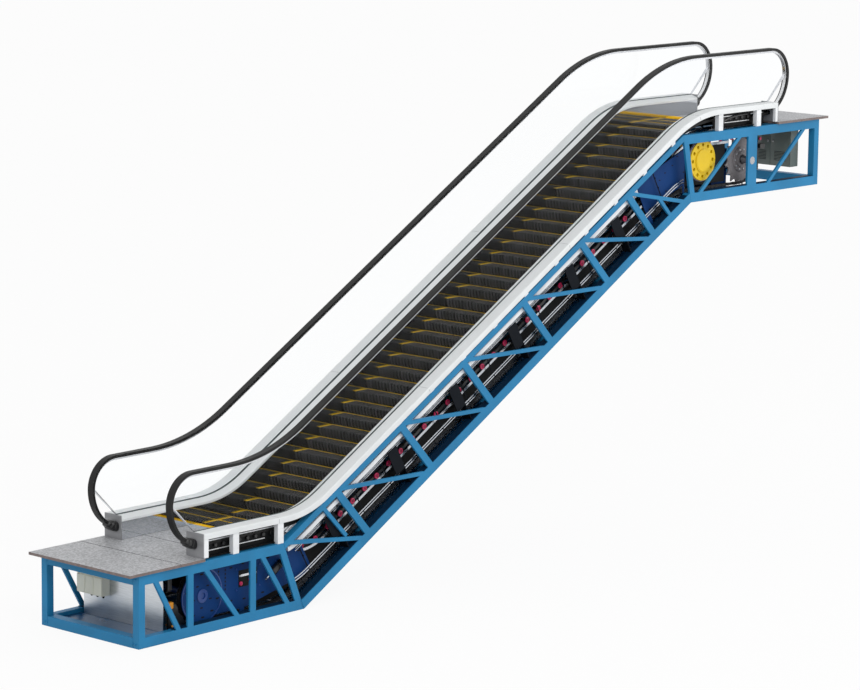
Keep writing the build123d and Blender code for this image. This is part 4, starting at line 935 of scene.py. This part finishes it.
def housings():
    """Doors, louvres drawn as dark strips of painted shade, fins and flanges on the cabinet, the boxes and the drive.
    """
    doors, shade_marks, metal, seam, lids = Lot(), Lot(), Lot(), Lot(), Lot()
    def panel(lot, base, face, front, y0, y1, z0, z1):
        """A lid that stands out from base to face, and to front with its edge drawn in."""
        wide, narrow = box(y0, y1, z0, z1), box(y0 + 0.004, y1 - 0.004, z0 + 0.004, z1 - 0.004)
        lot.rings([[(x, y, z) for y, z in ring] for x, ring in ((base, wide), (face, wide), (front, narrow))])
    x = 11.2997
    for y0, y1 in ((-0.555, -0.258), (-0.25, 0.047)):
        panel(doors, x, x - 0.004, x - 0.006, y0, y1, 4.08, 4.66)
        mid = (y0 + y1) / 2
        # Each louvre is a near-black strip, painted shade for its opening.
        for k in range(7):
            z = 4.14 + k * 0.018
            shade_marks.rings([[(x - 0.0055, y, h) for y, h in box(mid - 0.09, mid + 0.09, z, z + 0.007)],
                        [(x - 0.0085, mid - 0.088, z + 0.001), (x - 0.0085, mid + 0.088, z + 0.001),
                         (x - 0.0075, mid + 0.088, z + 0.006), (x - 0.0075, mid - 0.088, z + 0.006)]])
        hand = y1 - 0.035 if y0 < -0.3 else y0 + 0.035
        knob = [(0.003, 0), (0.014, 0), (0.014, -0.006), (0.01, -0.009), (0.003, -0.009)]
        metal.turned((x - 0.006, hand, 4.38), knob, 16, "x")
    doors.make("cabinet_doors", "cabinet_grey", "cabinet_grey")
    shade_marks.make("cabinet_louvre_shades", "cap_dark")
    lid_rows = ((0.2, 0.326), (0.332, 0.456), (0.462, 0.584))
    x = 0.3
    for y0, y1 in lid_rows:
        panel(lids, x, x - 0.005, x - 0.008, y0, y1, 0.544, 0.732)
        for y in (y0 + 0.015, y1 - 0.015):
            for z in (0.56, 0.716):
                metal.turned((x - 0.008, y, z), [(0.001, 0), (0.005, 0), (0.004, -0.003), (0.001, -0.003)], 8, "x")
    for y in (0.24, 0.33, 0.42):
        seam.turned((0.36, y, 0.335), [(0.003, 0), (0.014, 0), (0.014, -0.02), (0.009, -0.03), (0.003, -0.03)], 12, "z")
    lids.slab(box(0.302, 0.418, 0.335, 0.537), 0.199, 0.585, 0.004)
    for y0, y1 in lid_rows:
        panel(lids, 0.303, 0.297, 0.294, y0, y1, 0.342, 0.534)
    lids.make("control_box_lids", "box_cream", "box_cream")
    seam.make("control_box_glands", "cap_dark")
    fins, flange = Lot(), Lot()
    x, z = motor_at
    for k in range(19):
        y = -0.12 + k * 0.018
        fins.turned(motor_at, [(0.146, y), (0.164, y + 0.0015), (0.164, y + 0.0045), (0.146, y + 0.006)], 40)
    fins.turned(motor_at, [(0.02, 0.25), (0.14, 0.25), (0.152, 0.262), (0.152, 0.32), (0.13, 0.34), (0.02, 0.342)], 40)
    fins.slab(rounded(x - 0.07, x + 0.07, z + 0.15, z + 0.225, 0.01), -0.05, 0.1, 0.006)
    fins.make("motor_fins", "machine_blue", "machine_blue")
    flange.turned(motor_at, [(0.02, -0.17), (0.185, -0.17), (0.185, -0.152), (0.16, -0.146), (0.02, -0.146)], 40)
    for k in range(8):
        x, z = polar(motor_at, 0.172, 22.5 + 45 * k)
        metal.knob((x, -0.146, z), 0.009, 0.008)
    flange.make("motor_flange", "machine_blue", "machine_blue")
    g = Lot()
    g.slab(rounded(9.803, 10.124, 3.875, 3.9, 0.006), -0.48, -0.16, 0.003)
    g.slab(rounded(9.803, 10.124, 4.14, 4.16, 0.006), -0.48, -0.16, 0.003)
    g.slab(rounded(9.83, 10.1, 4.385, 4.41, 0.008), -0.455, -0.185, 0.004)
    g.make("gearbox_ribs", "machine_blue", "machine_blue")
    for x in (9.82, 9.96, 10.1):
        for y in (-0.47, -0.17):
            metal.knob((x, y, 4.16), 0.009, 0.012, 6, "z")
    metal.make("housing_fasteners", "shaft_steel", "shaft_steel")


def under_decks():
    """End posts, and the dark channels with guide rollers that carry the handrail under the decks."""
    posts, sheets, rolls, bars = Lot(), Lot(), Lot(), Lot()
    posts.slab(box(0.8755, 0.94, 0.8165, 1.0125), -0.7615, -0.72, 0.002)
    posts.slab(box(10.70, 10.744, 4.7015, 4.8725), -0.7615, -0.72, 0.002)
    for x0, x1, z0, z1 in ((0.95, 2.2, 0.80, 1.005), (9.6, 10.62, 4.69, 4.865)):
        sheets.slab(box(x0, x1, z0, z1), -0.634, -0.628, 0.001)
        sheets.slab(box(x0, x1, z0, z0 + 0.005), -0.71, -0.634)
        bars.slab(box(x0 + 0.03, x1 - 0.04, z1 - 0.05, z1 - 0.04), -0.646, -0.634, 0.001)
        bars.slab(box(x0 + 0.1, x1 - 0.3, z0 + 0.05, z0 + 0.058), -0.643, -0.634, 0.001)
        for k in range(int((x1 - x0) / 0.12)):
            rolls.turned((x0 + 0.08 + k * 0.12, z0 + 0.1),
                         [(0.003, -0.634), (0.022, -0.634), (0.022, -0.656), (0.018, -0.66), (0.003, -0.66)], 14)
    posts.both().make("deck_end_posts", "post_white", "post_white")
    sheets.both().make("handrail_channels", "cap_dark")
    bars.both().make("handrail_channel_bars", "guide_bright", "rail_steel")
    rolls.both().make("handrail_channel_rollers", "boot_black")


def truss_bolts():
    """Painted bolts at the deck posts and the end beams, and the seams of the floor plates."""
    lot, ends = Lot(), Lot()
    for x in (1.361, 2.037, 9.6187, 10.3787):
        for z in ((0.85, 0.95) if x < 5 else (4.73, 4.82)):
            for dx in (-0.025, 0.025):
                lot.knob((x + dx, -0.75, z), 0.007, -0.005)
    for x0, z0, out in ((-0.06, 0.0, -1), (11.63474, truss_rise, 1)):
        for y in (-0.7, -0.66):
            for z in (0.05, 0.74):
                ends.knob((x0, y, z0 + z), 0.011, out * 0.009, 6, "x")
    seams = Lot()
    for x, y in ((0.5207, 0.779), (1.2018, 0.4985)):
        seams.slab([(x - 0.005, 0.806), (x + 0.005, 0.806), (x + 0.0045, 0.8156), (x - 0.0045, 0.8156)], -y, y)
    seams.slab([(10.7405, 4.69), (10.7455, 4.69), (10.745, 4.7005), (10.741, 4.7005)], -0.4985, 0.4985)
    seams.make("floor_seams", "cap_dark")
    lot.both().make("deck_post_bolts", "post_white", "post_white")
    ends.both().make("end_beam_bolts", "truss_paint", "truss_paint")


for build in (steps, combs, decks, boots, chains, rollers, bay_rails, lower_machine, upper_machine, housings,
              under_decks, truss_bolts):
    build()

# CAD nodes with another colour (for the track brackets a near-black that is painted shade), and copies of nodes with
# softened edges
for name, finish_name in (("track_brackets", "track_bracket_shade"), ("turn_shaft", "machine_blue_light")):
    nodes[name].data.materials.clear()
    nodes[name].data.materials.append(mat[finish_name])
for name in ("deck_posts", "newel_caps", "end_beams", "partition", "controller_cabinet", "control_box", "gearbox",
             "machine_bed", "carriage_plates", "drive_plates"):
    soften(name, 0.003, {"newel_caps": "cap_grey"}.get(name))
for part in ("lower", "incline", "upper"):
    for label in ("near", "far"):
        soften(f"truss_{part}_{label}", 0.004)


# Stage
def seen_white(tree, plain, output, kind, share):
    """Shows clean white to mirrors and through glass and a share of it to the camera; other light sees plain."""
    glow = tree.nodes.new(kind)
    glow.inputs["Color"].default_value = (1, 1, 1, 1)
    glow.inputs["Strength"].default_value = 1.0
    path = tree.nodes.new("ShaderNodeLightPath")
    part = tree.nodes.new("ShaderNodeMath")
    part.operation = "MULTIPLY"
    tree.links.new(path.outputs["Is Camera Ray"], part.inputs[0])
    part.inputs[1].default_value = share
    last = part.outputs["Value"]
    for name in ("Is Glossy Ray", "Is Transmission Ray"):
        either = tree.nodes.new("ShaderNodeMath")
        either.operation = "MAXIMUM"
        tree.links.new(last, either.inputs[0])
        tree.links.new(path.outputs[name], either.inputs[1])
        last = either.outputs["Value"]
    mix = tree.nodes.new("ShaderNodeMixShader")
    tree.links.new(last, mix.inputs["Fac"])
    tree.links.new(plain, mix.inputs[1])
    tree.links.new(glow.outputs[0], mix.inputs[2])
    tree.links.new(mix.outputs["Shader"], output)


def build_stage():
    """A pale floor that reaches out of sight and still takes the object's shadow."""
    size = 90
    mesh = bpy.data.meshes.new("floor")
    mesh.from_pydata([(-size, -size, 0), (size, -size, 0), (size, size, 0), (-size, size, 0)], [], [(0, 1, 2, 3)])
    floor = bpy.data.objects.new("floor", mesh)
    floor.location = (5.8, 0, cad_low.z - 0.002)
    scene.collection.objects.link(floor)
    m = Maker("floor_pale", (0.8, 0.8, 0.8), 0.9)
    m.vary(m.noise(0.6, 2), 0.995, 1.005)
    seen_white(m.tree, m.shader.outputs["BSDF"], m.tree.nodes["Material Output"].inputs["Surface"],
               "ShaderNodeEmission", 0.92)
    floor.data.materials.append(m.mat)


build_stage()

world = bpy.data.worlds.new("studio")
scene.world = world
world.use_nodes = True
tree = world.node_tree
background = tree.nodes["Background"]
background.inputs["Color"].default_value = (1, 1, 1, 1)
background.inputs["Strength"].default_value = 0.8
seen_white(tree, background.outputs["Background"], tree.nodes["World Output"].inputs["Surface"],
           "ShaderNodeBackground", 1.0)


def lamp(name, place, aim, size, power):
    """A soft rectangular lamp that faces a point."""
    data = bpy.data.lights.new(name, "AREA")
    data.shape = "RECTANGLE"
    data.size, data.size_y = size
    data.energy = power
    obj = bpy.data.objects.new(name, data)
    obj.location = place
    obj.rotation_mode = "QUATERNION"
    obj.rotation_quaternion = (Vector(aim) - Vector(place)).to_track_quat("-Z", "Y")
    scene.collection.objects.link(obj)


lamp("key", (-6, -14, 16), (6, 0, 2.5), (10, 8), 1000)
lamp("fill", (16, -12, 8), (7, 0, 2.5), (8, 8), 500)

scene.view_settings.view_transform = "Standard"
